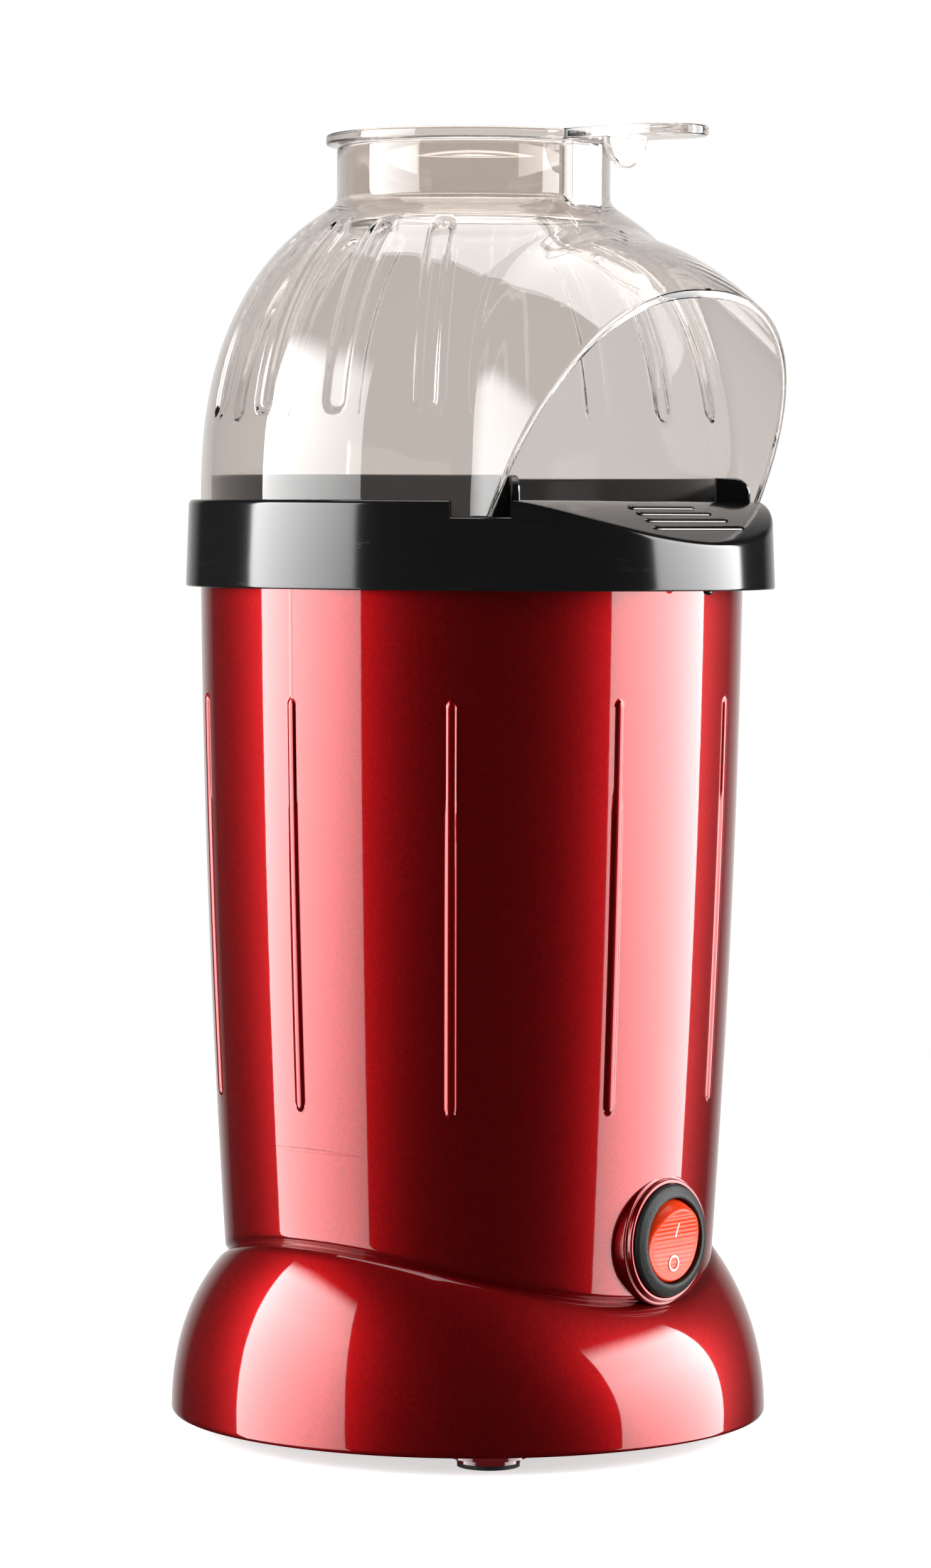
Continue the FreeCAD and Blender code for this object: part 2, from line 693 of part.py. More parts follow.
def make_dome_cover():
    """One clear moulding: dome with recessed flutes, neck with a lug, and the spout's hood."""
    wall = float(s.cover_wall)
    foot, top = float(hood_foot), float(neck_top)
    mouth_top = foot + float(s.hood_rise) + float(s.notch_depth) - float(s.hood_drop)
    foot_mouth, head_mouth = hood_start + float(s.hood_foot_reach), hood_start + float(s.hood_reach)
    slope = (head_mouth - foot_mouth) / (mouth_top - foot)
    low = foot - 12
    ahead = Part.Face(Part.makePolygon([
        Vector(-90, -(foot_mouth - 12 * slope), low), Vector(-90, -head_mouth, mouth_top),
        Vector(-90, -120, mouth_top), Vector(-90, -120, low), Vector(-90, -(foot_mouth - 12 * slope), low)]))
    ahead = ahead.extrude(SIDE * 180)
    neck = cylinder(float(s.neck_radius), top - float(dome_base) - 40, (0, 0, float(dome_base) + 40))
    lug = slab((-5.2, -float(s.neck_radius) - 1.9, float(dome_base) + 50), (5.2, -float(s.neck_radius) + 2, top))
    outer = dome(0.0).cut(ahead).fuse([neck, lug, hood(0.0, 1.0)])
    inside = float(s.hood_width) / 2 - float(s.hood_wall)
    under_hood = slab((-inside, -(foot_mouth + 0.6), foot - 6), (inside, -hood_start + 11, foot + 0.5))
    hollow = dome(wall).fuse([cylinder(float(neck_bore), 60, (0, 0, float(dome_base) + 30)),
                              hood(float(s.hood_wall), 1.15), under_hood])
    cover = outer.cut(hollow)
    bars = [radial_slot(float(s.flute_width), float(dome_base) + float(s.flute_low),
                        float(dome_base) + float(s.flute_low) + float(s.flute_length), 12, 70, turn)
            for turn in FLUTE_TURNS]
    skin = dome(0.0).cut(dome(float(s.flute_depth)))
    flutes = skin.common(bars[0].fuse(bars[1:]))
    return shaped("dome_cover", cover.cut(flutes).removeSplitter())


# ---------------------------------------------------------------- measuring cup


def make_measuring_cup():
    inside = cup_radius - s.cup_wall
    rim_top = rim_under + s.rim_thickness
    bowl = turned("cup_bowl", [
        (0, cup_bottom), (cup_radius - 1.2, cup_bottom), (cup_radius, cup_bottom + 1.2), (cup_radius, rim_under),
        (s.rim_radius, rim_under), (s.rim_radius, rim_top), (inside, rim_top), (inside, cup_bottom + s.cup_wall),
        (0, cup_bottom + s.cup_wall)])
    tab = doc.addObject("Part::Wedge", "cup_tab")
    end = s.tab_reach - s.tab_radius
    bind(tab, Xmin=-s.tab_radius, Xmax=s.tab_radius, X2min=-s.tab_radius + 2.0, X2max=s.tab_radius - 2.0,
         Ymin=-end, Ymax=-cup_radius, Zmin=rim_under, Zmax=rim_top, Z2min=rim_under, Z2max=rim_top)
    tip = rod("cup_tab_end", s.tab_radius, s.rim_thickness, (0, -end, rim_under))
    fin = rod("cup_fin", s.fin_radius, 1.8, (0, -s.fin_reach, rim_under + 0.4), FRONT, 180.0, 180.0)
    return keep("measuring_cup", joined("cup_whole", [bowl, tab, tip, fin]))


# ---------------------------------------------------------------- popping chamber and heater


def make_chamber():
    radius, wall, flat = s.chamber_radius, s.chamber_wall, s.chamber_radius * 0.75
    bowl = turned("chamber_bowl", [
        (0, chamber_floor + 4.0), (flat, chamber_floor), (radius + wall, chamber_floor),
        (radius + wall, chamber_rim - wall), (chamber_flange, chamber_rim - wall), (chamber_flange, chamber_rim),
        (radius, chamber_rim), (radius, chamber_floor + wall), (flat, chamber_floor + wall),
        (0, chamber_floor + wall + 4.0)])
    tools = []
    for i in range(LOUVRES):
        turn = 360 / LOUVRES * (i + 0.5)
        slot = doc.addObject("Part::Box", f"louvre_{i}")
        bind(slot, Length=s.louvre_width, Width=6.0, Height=s.louvre_length)
        spot = around(radius + 3.0, turn, chamber_floor + 5.0)
        place(slot, spot)
        slot.Placement = Placement(slot.Placement.Base, Rotation(UP, turn) * Rotation(FRONT, 30))
        tools.append(slot)
    for turn in CHAMBER_SCREW_TURNS:
        tools.append(rod(f"rim_hole_{turn:.0f}", s.screw_radius, 4.0,
                         around(chamber_screw_circle, turn, chamber_rim - 3.0)))
    keep("popping_chamber", less("chamber_cut", bowl, tools))
    seal = tube("seal_ring", chamber_flange, radius + 1.4, chamber_rim, deck_under)
    holes = [rod(f"seal_hole_{turn:.0f}", s.screw_radius, 4.0,
                 around(chamber_screw_circle, turn, chamber_rim - 1.0)) for turn in CHAMBER_SCREW_TURNS]
    keep("chamber_seal", less("seal_cut", seal, holes))


def make_sleeve():
    outer = s.sleeve_radius + s.sleeve_wall
    foot_flange = s.fan_housing_radius + 4.0
    wrap = turned("sleeve_wrap", [
        (s.sleeve_radius, housing_top), (foot_flange, housing_top), (foot_flange, housing_top + s.sleeve_wall),
        (outer, housing_top + s.sleeve_wall), (outer, sleeve_top - s.sleeve_wall),
        (chamber_flange, sleeve_top - s.sleeve_wall), (chamber_flange, sleeve_top), (s.sleeve_radius, sleeve_top)])
    holes = [rod(f"sleeve_hole_{turn:.0f}", s.screw_radius, 4.0,
                 around(chamber_screw_circle, turn, sleeve_top - 3.0)) for turn in CHAMBER_SCREW_TURNS]
    turns = (30.0, 150.0, 270.0)
    rivet_circle = foot_flange - 1.3
    holes += [rod(f"rivet_hole_{turn:.0f}", 0.8, 4.0, around(rivet_circle, turn, housing_top - 1.0))
              for turn in turns]
    keep("heat_sleeve", less("sleeve_cut", wrap, holes))
    length = s.seal_thickness + s.chamber_wall + s.sleeve_wall + 1.3
    under = sleeve_top - s.sleeve_wall
    keep("chamber_screws", grouped("rim_screws", [
        joined(f"rim_screw_{i}", [
            rod(f"rim_shank_{i}", s.screw_radius, length, around(chamber_screw_circle, turn, under)),
            rod(f"rim_head_{i}", s.screw_head, 1.4, around(chamber_screw_circle, turn, under - 1.4))])
        for i, turn in enumerate(CHAMBER_SCREW_TURNS)]))
    keep("sleeve_rivets", grouped("rivets", [
        rod(f"rivet_{turn:.0f}", 0.8, s.sleeve_wall + 1.6, around(rivet_circle, turn, housing_top - 1.3))
        for turn in turns]))


def coil_rings(name, wire):
    """Three rings of the heater's wire; the same rings, a little fatter, cut the notches that hold them."""
    rings = []
    for i in range(4):
        ring = doc.addObject("Part::Torus", f"{name}_{i}")
        bind(ring, Radius1=s.coil_radius - 2.5 * (i % 2), Radius2=wire)
        rings.append(place(ring, (0, 0, housing_top + 4.0 + 5.5 * i)))
    return rings


def make_heater():
    half = s.sleeve_radius - 0.6
    for name, spin, slot_low in (("mica_plate_across", 0.0, 0.5), ("mica_plate_along", 90.0, 0.0)):
        plate = block(f"{name}_sheet", half * 2.0, s.mica_thickness, s.mica_height, (0, 0, housing_top), spin)
        slot = block(f"{name}_slot", s.mica_thickness, s.mica_thickness, s.mica_height / 2.0,
                     (0, 0, housing_top + s.mica_height * slot_low))
        keep(name, less(f"{name}_cut", plate, [slot] + coil_rings(f"{name}_notch", s.coil_wire + 0.1)))
    rings = coil_rings("heater_ring", s.coil_wire)
    risers = []
    for i in range(3):
        angle = math.radians(45 + 90 * i)
        low, high = housing_top + 4.0 + 5.5 * i, housing_top + 9.5 + 5.5 * i
        radius_low, radius_high = s.coil_radius - 2.5 * (i % 2), s.coil_radius - 2.5 * ((i + 1) % 2)
        start = Vector(float(radius_low) * math.sin(angle), -float(radius_low) * math.cos(angle), float(low))
        end = Vector(float(radius_high) * math.sin(angle), -float(radius_high) * math.cos(angle), float(high))
        at = (radius_low * math.sin(angle), radius_low * -math.cos(angle), low)
        risers.append(rod(f"riser_{i}", s.coil_wire * 0.8, (end - start).Length, at, (end - start).normalize()))
    keep("heater_coil", joined("heater_wire", rings + risers))


def make_safety():
    """The thermostat on the sleeve's right side and the thermal fuse on its left."""
    outer = s.sleeve_radius + s.sleeve_wall
    level = chamber_floor + 18.0
    band = rod("bracket_band", outer + 0.6, 8.0, (0, 0, level - 4.0), UP, 40.0, -20.0)
    inside = rod("bracket_inside", outer, 10.0, (0, 0, level - 5.0))
    keep("thermostat_bracket", less("bracket_cut", band, [inside]))
    can = rod("thermostat_can", 7.0, 5.0, (outer - 0.6, 0, level), SIDE)
    keep("thermostat", less("thermostat_cut", can, [rod("thermostat_seat", outer + 0.6, 20.0, (0, 0, level - 10.0))]))
    fuse_at = -(outer + 2.6)
    pill = rod("fuse_pill", 1.7, 10.0, (fuse_at, 0, level - 5.0))
    wire = rod("fuse_wire", 0.5, 24.0, (fuse_at, 0, level - 12.0))
    keep("thermal_fuse", joined("fuse_whole", [pill, wire]))
    clip = block("clip_block", 5.0, 6.0, 5.0, (fuse_at, 0, level - 2.5))
    keep("fuse_clip", less("clip_cut", clip, [
        rod("clip_hole", 1.7, 10.0, (fuse_at, 0, level - 5.0)),
        rod("clip_seat", outer, 10.0, (0, 0, level - 5.0))]))


# ---------------------------------------------------------------- fan and motor


def make_fan_housing():
    radius, wall = s.fan_housing_radius, s.fan_housing_wall
    flange = radius + 4.0
    cup = turned("fan_cup", [
        (s.inlet_radius, s.fan_floor), (radius, s.fan_floor), (radius, housing_top - 1.2), (flange, housing_top - 1.2),
        (flange, housing_top), (radius - wall, housing_top), (radius - wall, s.fan_floor + wall),
        (s.inlet_radius, s.fan_floor + wall)])
    holes = [rod(f"cup_rivet_hole_{turn:.0f}", 0.8, 4.0, around(flange - 1.3, turn, housing_top - 3.0))
             for turn in (30.0, 150.0, 270.0)]
    keep("fan_housing", less("fan_cup_cut", cup, holes))
    plate = rod("bracket_plate", s.motor_radius, s.bracket_thickness, (0, 0, motor_top))
    arms = [block(f"bracket_arm_{i}", 8.0, (s.inlet_radius + 6.0) * 2.0, s.bracket_thickness, (0, 0, motor_top), spin)
            for i, spin in enumerate((0.0, 90.0))]
    bores = [rod("bracket_bore", 3.2, 6.0, (0, 0, motor_top - 2.0))]
    bores += [rod(f"bracket_hole_{i}", 1.0, 6.0, (x, 0, motor_top - 2.0)) for i, x in enumerate((-8.0, 8.0))]
    keep("motor_bracket", less("bracket_whole", joined("bracket_arms", [plate] + arms), bores))


def make_impeller():
    """A disc with blades on its underside, drawn round the axis by a polar pattern."""
    hub = 6.0
    body = doc.addObject("PartDesign::Body", "impeller")
    disc = sketched(body, "impeller_outline", "XZ_Plane", [
        (s.shaft_radius, impeller_bottom), (hub, impeller_bottom), (hub, impeller_top - 1.2),
        (s.impeller_radius, impeller_top - 1.2), (s.impeller_radius, impeller_top), (s.shaft_radius, impeller_top)])
    revolution = body.newObject("PartDesign::Revolution", "impeller_disc")
    revolution.Profile = disc
    revolution.ReferenceAxis = (disc, ["V_Axis"])
    revolution.Angle = 360.0
    half = s.blade_thickness / 2.0
    tip = s.impeller_radius - 0.8
    blade = body.newObject("Sketcher::SketchObject", "blade_outline")
    blade.AttachmentSupport = [(origin_plane(body, "XY_Plane"), "")]
    blade.MapMode = "FlatFace"
    blade.AttachmentOffset = Placement(Vector(0, 0, float(impeller_bottom)), Rotation())
    blade.setExpression(".AttachmentOffset.Base.z", impeller_bottom.formula)
    lean = 9.0
    outline(blade, [(5.0, -half), (tip - 4.0, lean - half), (tip - 4.0, lean + half), (5.0, half)])
    pad = body.newObject("PartDesign::Pad", "blade")
    pad.Profile = blade
    bind(pad, Length=s.impeller_height - 1.0)
    doc.recompute()
    pattern = body.newObject("PartDesign::PolarPattern", "blades")
    pattern.Originals = [pad]
    pattern.Axis = (disc, ["V_Axis"])
    pattern.Angle = 360.0
    pattern.Occurrences = BLADES
    body.Tip = pattern
    keep("fan_impeller", body)


def make_motor():
    radius, wall = s.motor_radius, 1.0
    cap_top = motor_bottom + 4.0
    keep("motor_can", less("motor_can_cut", turned("motor_case", [
        (3.0, motor_top - wall), (3.0, motor_top), (radius, motor_top), (radius, motor_bottom),
        (radius - wall, motor_bottom), (radius - wall, motor_top - wall)]),
        [rod(f"case_hole_{i}", 1.0, 3.0, (x, 0, motor_top - 2.0)) for i, x in enumerate((-8.0, 8.0))]))
    keep("motor_end_cap", less("cap_cut", turned("cap_disc", [
        (3.0, motor_bottom), (radius - wall, motor_bottom), (radius - wall, cap_top), (radius - wall - 2.0, cap_top),
        (radius - wall - 2.0, motor_bottom + 1.5), (3.0, motor_bottom + 1.5)]),
        [block(f"cap_slot_{i}", 0.5, 2.4, 4.0, (x, 0, motor_bottom - 1.0)) for i, x in enumerate((-7.5, 7.5))]))
    keep("upper_bush", turned("bush_high", [
        (bush_bore, motor_top - 3.0), (3.0, motor_top - 3.0), (3.0, motor_top + 0.6), (bush_bore, motor_top + 0.6)]))
    keep("lower_bush", turned("bush_low", [
        (bush_bore, motor_bottom - 0.6), (3.0, motor_bottom - 0.6), (3.0, motor_bottom + 3.0),
        (bush_bore, motor_bottom + 3.0)]))
    middle = motor_bottom + s.motor_length * 0.5
    core_low = middle - s.armature_length / 2.0
    magnets = []
    for i, spin in enumerate((30.0, 210.0)):
        arc = rod(f"magnet_arc_{i}", radius - wall, s.armature_length + 4.0, (0, 0, core_low - 2.0), UP, 120.0, spin)
        bore = rod(f"magnet_bore_{i}", s.armature_radius + 0.5, 40.0, (0, 0, core_low - 6.0))
        magnets.append(less(f"magnet_{i}", arc, [bore]))
    keep("motor_magnets", grouped("magnets", magnets))
    core = turned("armature_core", [
        (s.shaft_radius, core_low), (s.armature_radius, core_low), (s.armature_radius, core_low + s.armature_length),
        (s.shaft_radius, core_low + s.armature_length)])
    slots = []
    for i in range(3):
        turn = 120.0 * i
        slots.append(rod(f"armature_slot_{i}", 2.8, 40.0, around(s.armature_radius - 3.2, turn, core_low - 5.0)))
        slots.append(block(f"armature_gap_{i}", 1.6, s.armature_radius, 40.0,
                           around(s.armature_radius, turn, core_low - 5.0), turn))
    keep("armature", less("armature_cut", core, slots))
    keep("commutator", turned("commutator_ring", [
        (s.shaft_radius, core_low - 5.0), (3.2, core_low - 5.0), (3.2, core_low - 0.6), (s.shaft_radius, core_low - 0.6)]))
    keep("motor_shaft", rod("shaft_rod", s.shaft_radius, impeller_top + 1.5 - shaft_bottom, (0, 0, shaft_bottom)))
    brush_low = core_low - 3.6
    keep("motor_brushes", grouped("brushes", [
        block(f"brush_{i}", 3.6, 2.4, 1.8, (side * 5.2, 0, brush_low)) for i, side in enumerate((-1, 1))]))
    keep("motor_screws", grouped("bracket_screws", [
        joined(f"bracket_screw_{i}", [
            rod(f"bracket_shank_{i}", 1.0, s.bracket_thickness + 1.0, (x, 0, motor_top - 1.0)),
            rod(f"bracket_head_{i}", 1.9, 1.3, (x, 0, motor_top + s.bracket_thickness))])
        for i, x in enumerate((-8.0, 8.0))]))
    board_top = shaft_bottom - 1.0
    board = rod("board_disc", s.board_radius, 1.4, (0, 0, board_top - 1.4))
    slits = [block(f"board_slit_{i}", 0.5, 2.4, 4.0, (x, 0, board_top - 3.0)) for i, x in enumerate((-7.5, 7.5))]
    keep("rectifier_board", less("board_cut", board, slits))
    keep("motor_terminals", grouped("terminals", [
        block(f"terminal_{i}", 0.5, 2.4, motor_bottom + 2.5 - (board_top - 2.0), (x, 0, board_top - 2.0))
        for i, x in enumerate((-7.5, 7.5))]))
    keep("rectifier_diodes", grouped("diodes", [
        rod(f"diode_{i}", 1.4, 5.0, (-2.5, y, board_top - 2.8), SIDE) for i, y in enumerate((-7.5, -2.5, 2.5, 7.5))]))


# ---------------------------------------------------------------- base, feet and cord inlet


def make_base():
    disc = rod("plate_disc", plate_radius, s.plate_thickness, (0, 0, plate_under))
    solids, tools = [disc], []
    for name, turn in FOOT_TURNS.items():
        boss_low = s.pad_thickness + 1.0
        solids.append(rod(f"boss_{name}", s.foot_radius, plate_under - boss_low + 0.5,
                          around(s.foot_circle, turn, boss_low)))
        solids.append(rod(f"boss_end_{name}", s.pad_radius + 0.2, boss_low - s.pad_thickness + 0.5,
                          around(s.foot_circle, turn, s.pad_thickness)))
        tools.append(rod(f"plug_hole_{name}", 2.4, 3.0, around(s.foot_circle, turn, s.pad_thickness - 0.5)))
        pad = rod(f"pad_{name}", s.pad_radius, s.pad_thickness, around(s.foot_circle, turn, 0))
        plug = rod(f"plug_{name}", 2.4, 2.5, around(s.foot_circle, turn, s.pad_thickness))
        keep(f"rubber_foot_{name}", joined(f"rubber_{name}", [pad, plug]))
    for i in range(-4, 5):
        reach = math.sqrt(30.0 ** 2 - (6.2 * i) ** 2)
        tools.append(block(f"intake_{i + 4}", s.intake_slot, 2 * reach, 10.0, (6.2 * i, 0, plate_under - 3.0)))
    for turn in POST_TURNS:
        tools.append(rod(f"plate_hole_{turn:.0f}", s.screw_radius, 6.0,
                         around(s.base_screw_circle, turn, plate_under - 2.0)))
    saddle_y = 43.0
    cord_under = s.inlet_level - s.cord_bore
    solids.append(block("saddle", 7.0, 6.0, cord_under - plate_top + 0.5, (0, saddle_y, plate_top - 0.5)))
    bar_under = s.inlet_level + s.cord_bore
    for i, x in enumerate((-7.5, 7.5)):
        solids.append(rod(f"clamp_post_{i}", 3.0, bar_under - plate_top + 0.5, (x, saddle_y, plate_top - 0.5)))
        tools.append(rod(f"clamp_post_hole_{i}", 1.2, 8.0, (x, saddle_y, bar_under - 7.0)))
    keep("base_plate", less("plate_cut", joined("plate_solid", solids), tools))
    bar = block("clamp_bar", 21.0, 6.0, 2.5, (0, saddle_y, bar_under))
    keep("cord_clamp", less("clamp_cut", bar, [
        rod(f"clamp_hole_{i}", 1.2, 6.0, (x, saddle_y, bar_under - 1.0)) for i, x in enumerate((-7.5, 7.5))]))
    keep("clamp_screws", grouped("clamp_screw_pair", [
        joined(f"clamp_screw_{i}", [
            rod(f"clamp_shank_{i}", 1.2, 9.4, (x, saddle_y, bar_under - 6.9)),
            rod(f"clamp_head_{i}", 2.2, 1.4, (x, saddle_y, bar_under + 2.5))])
        for i, x in enumerate((-7.5, 7.5))]))
    keep("base_screws", grouped("plate_screws", [
        joined(f"plate_screw_{turn:.0f}", [
            rod(f"plate_shank_{turn:.0f}", s.screw_radius, s.plate_thickness + 11.0,
                around(s.base_screw_circle, turn, plate_under)),
            rod(f"plate_head_{turn:.0f}", s.screw_head + 0.8, 1.6,
                around(s.base_screw_circle, turn, plate_under - 1.6))])
        for turn in POST_TURNS]))
    sleeve_start = gland_seat - 12.0
    keep("cord_gland", turned("gland_bush", [
        (s.cord_bore, sleeve_start), (s.gland_radius, sleeve_start), (s.gland_radius, gland_seat),
        (s.gland_flange, gland_seat), (s.gland_flange, gland_seat + 1.2), (s.gland_flange - 1.0, gland_seat + 2.2),
        (s.cord_bore, gland_seat + 2.2)], (0, 0, s.inlet_level), BACK))


# ---------------------------------------------------------------- rocker switch


def make_switch():
    """A round snap-in rocker switch. The rocker is part of a ball about its pins, so it clears its window as it rocks."""
    cavity = s.rocker_radius + 0.34
    level = s.switch_level
    shell = turned("switch_case", [
        (0, switch_back), (s.switch_body_radius, switch_back), (s.switch_body_radius, switch_face),
        (s.bezel_radius, switch_face), (s.bezel_radius, switch_face + 1.4), (s.rocker_window + 0.8, bezel_face),
        (s.rocker_window, bezel_face - 0.2), (s.rocker_window, bezel_face - 1.2), (cavity, bezel_face - 1.8),
        (cavity, switch_back + 2.0), (0, switch_back + 2.0)], (0, 0, level), FRONT)
    hole = rod("pin_hole", 1.16, 40.0, (-20.0, -pivot_reach, level), SIDE)
    slits = [block(f"blade_slit_{i}", 4.8, 6.0, 0.8, (0, -switch_back, level + z - 0.4))
             for i, z in enumerate((-5.5, 0.0, 5.5))]
    keep("switch_housing", less("switch_case_cut", shell, [hole] + slits))
    ball = doc.addObject("Part::Sphere", "rocker_ball")
    bind(ball, Radius=s.rocker_radius)
    place(ball, (0, -pivot_reach, level))
    front, reach = bezel_face - 0.6, s.rocker_radius + 1.0
    rise = math.tan(math.radians(float(s.rocker_tilt)))
    body = doc.addObject("PartDesign::Body", "rocker_wedge")
    flank = sketched(body, "rocker_outline", "YZ_Plane", [
        (-(pivot_reach - 4.0), level - reach), (-front, level - reach), (-front, level),
        (-(front + reach * rise), level + reach), (-(pivot_reach - 4.0), level + reach)])
    pad = body.newObject("PartDesign::Pad", "rocker_pad")
    pad.Profile = flank
    pad.Midplane = True
    bind(pad, Length=s.rocker_radius * 2.0 + 4.0)
    cap = doc.addObject("Part::Common", "rocker_cap")
    cap.Base, cap.Tool = ball, body
    pins = rod("rocker_pins", 1.1, s.switch_body_radius * 2.0 - 0.2,
               (-(s.switch_body_radius - 0.1), -pivot_reach, level), SIDE)
    keep("switch_rocker", joined("rocker_whole", [cap, pins]))
    keep("switch_lamp", rod("lamp_bulb", 2.2, 5.0, (0, -(switch_back + 2.0), level + 2.75), FRONT))
    keep("switch_terminals", grouped("switch_blades", [
        block(f"switch_blade_{i}", 4.8, 12.0, 0.8, (0, -(switch_back - 4.0), level + z - 0.4))
        for i, z in enumerate((-5.5, 0.0, 5.5))]))


make_body_shell()
make_collar()
make_dome_cover()
make_measuring_cup()
make_chamber()
make_sleeve()
make_heater()
make_safety()
make_fan_housing()
make_impeller()
make_motor()
make_base()
make_switch()
doc.recompute()

# ---------------------------------------------------------------- checks and files

faults = [thing.Label for thing in doc.Objects if {"Invalid", "Error"} & set(thing.State)]
for label, thing in parts.items():
    if thing.Shape.isNull() or not thing.Shape.isValid() or not thing.Shape.Solids:
        faults.append(label)
if faults:
    raise SystemExit(f"these pieces are not sound: {faults}")
os.makedirs("parts", exist_ok=True)
for label, thing in parts.items():
    thing.Shape.exportStep(os.path.join("parts", f"{label}.step"))
print(f"{len(parts)} pieces, {sum(len(t.Shape.Solids) for t in parts.values())} solids")
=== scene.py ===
# %% [markdown]
# # A hot-air popcorn maker, made as surfaces
#
# The real thing is a lacquered red housing on a flared foot, a black collar, a clear domed cover with a spout hood and
# a clear measuring cup in the cover's neck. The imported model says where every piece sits. This lesson makes the pieces
# that are seen, one surface at a time, and gives the others a finish.
#
# All lengths below are millimetres. A point is (across, forward, up): across is to the machine's own left as it faces
# us, forward is towards the spout, and the origin is on the upright axis at the level of the table.

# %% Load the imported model
import bmesh
import bpy
import numpy as np
from mathutils import Matrix, Vector


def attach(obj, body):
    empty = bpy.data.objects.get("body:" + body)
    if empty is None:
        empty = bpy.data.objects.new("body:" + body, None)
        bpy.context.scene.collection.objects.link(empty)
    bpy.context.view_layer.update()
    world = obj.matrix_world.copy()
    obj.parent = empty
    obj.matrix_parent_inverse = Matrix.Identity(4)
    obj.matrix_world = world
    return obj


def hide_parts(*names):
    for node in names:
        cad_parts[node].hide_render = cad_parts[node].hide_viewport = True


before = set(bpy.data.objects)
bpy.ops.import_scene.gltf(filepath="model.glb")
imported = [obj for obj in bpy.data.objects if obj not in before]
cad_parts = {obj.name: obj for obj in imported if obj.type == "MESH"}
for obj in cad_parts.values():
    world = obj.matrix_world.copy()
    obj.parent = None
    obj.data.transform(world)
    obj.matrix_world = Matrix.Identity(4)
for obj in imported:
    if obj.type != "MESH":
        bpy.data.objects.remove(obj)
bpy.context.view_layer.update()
MM = 0.001

# %% [markdown]
# ## The view
#
# The machine was seen from its own left front, 50 degrees round from the spout, from a little over a metre away and
# from the height of the collar. A long lens at a real distance gives the same foreshortening as the real view; moving
# nearer with a wide lens would swell the foot.

# %% Camera
VIEW_TURN = np.radians(-50.0)
DISTANCE, EYE, AIM = 1078.0, 190.5, 134.4
towards = np.array([np.sin(VIEW_TURN), -np.cos(VIEW_TURN), 0.0])
rightwards = np.array([np.cos(VIEW_TURN), np.sin(VIEW_TURN), 0.0])
eye = Vector((towards * DISTANCE + [0, 0, EYE]) * MM)
aim = Vector((rightwards * -1.1 + [0, 0, AIM]) * MM)
camera = bpy.data.objects.new("camera", bpy.data.cameras.new("camera"))
camera.data.lens, camera.data.sensor_width = 118.8, 36.0
camera.data.clip_start, camera.data.clip_end = 0.05, 20.0
facing = (aim - eye).to_track_quat("-Z", "Y").to_matrix().to_4x4()
camera.matrix_world = Matrix.Translation(eye) @ facing @ Matrix.Rotation(np.radians(0.27), 4, "Z")
bpy.context.scene.collection.objects.link(camera)
bpy.context.scene.camera = camera
print("camera at", [round(c, 4) for c in eye])

# %% [markdown]
# ## Tools for surfaces
#
# Every piece here is a grid: rows run along an outline, columns run round the machine. A grid that closes on itself
# needs no caps; one that stops gets a flat face at each end. Points that fall together, such as a pole or a seam, are
# welded, and the faces are turned outwards once the whole skin is closed.


# %% Grids into meshes
def net(grid, wrap_rows=False, wrap_columns=False, caps=False):
    """Quads between neighbours of a (rows, columns, 3) grid; a wrap joins the last to the first; caps close the ends
    of the columns with one flat face each."""
    rows, columns = grid.shape[:2]
    index = np.arange(rows * columns).reshape(rows, columns)
    if wrap_rows:
        index = np.vstack([index, index[:1]])
    if wrap_columns:
        index = np.column_stack([index, index[:, 0]])
    faces = np.stack([index[:-1, :-1], index[:-1, 1:], index[1:, 1:], index[1:, :-1]], -1).reshape(-1, 4).tolist()
    if caps:
        faces += [index[:rows, 0].tolist(), index[:rows, -1].tolist()]
    return grid.reshape(-1, 3), faces


def piece(name, shells, finish, body, stands_for=(), crease=32.0):
    """Puts closed skins into one object, welds them, fills pin holes, turns them outwards and hands the piece over."""
    points, faces, count = [], [], 0
    for skin, skin_faces in shells:
        points.append(skin * [MM, -MM, MM])
        faces += [[count + i for i in face] for face in skin_faces]
        count += len(skin)
    mesh = bpy.data.meshes.new(name)
    mesh.from_pydata(np.vstack(points).tolist(), [], faces)
    work = bmesh.new()
    work.from_mesh(mesh)
    bmesh.ops.remove_doubles(work, verts=work.verts, dist=2e-6)
    bmesh.ops.dissolve_degenerate(work, edges=work.edges, dist=1e-7)
    bmesh.ops.delete(work, geom=[edge for edge in work.edges if edge.is_wire], context="EDGES")
    bmesh.ops.holes_fill(work, edges=[edge for edge in work.edges if edge.is_boundary], sides=0)
    bmesh.ops.recalc_face_normals(work, faces=work.faces)
    open_edges = sum(1 for edge in work.edges if len(edge.link_faces) != 2)
    work.to_mesh(mesh)
    work.free()
    mesh.shade_smooth()
    mesh.set_sharp_from_angle(angle=np.radians(crease))
    made = bpy.data.objects.new(name, mesh)
    bpy.context.scene.collection.objects.link(made)
    mesh.materials.append(finish)
    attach(made, body)
    if stands_for:
        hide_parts(*stands_for)
    print(f"{name}: {len(mesh.polygons)} faces, {open_edges} open edges")
    return made


# %% [markdown]
# A moulding has no sharp corners, and it is the small roundings that catch the light. Each outline is written as its
# sharp corners, and one function turns every corner into a short parabola.


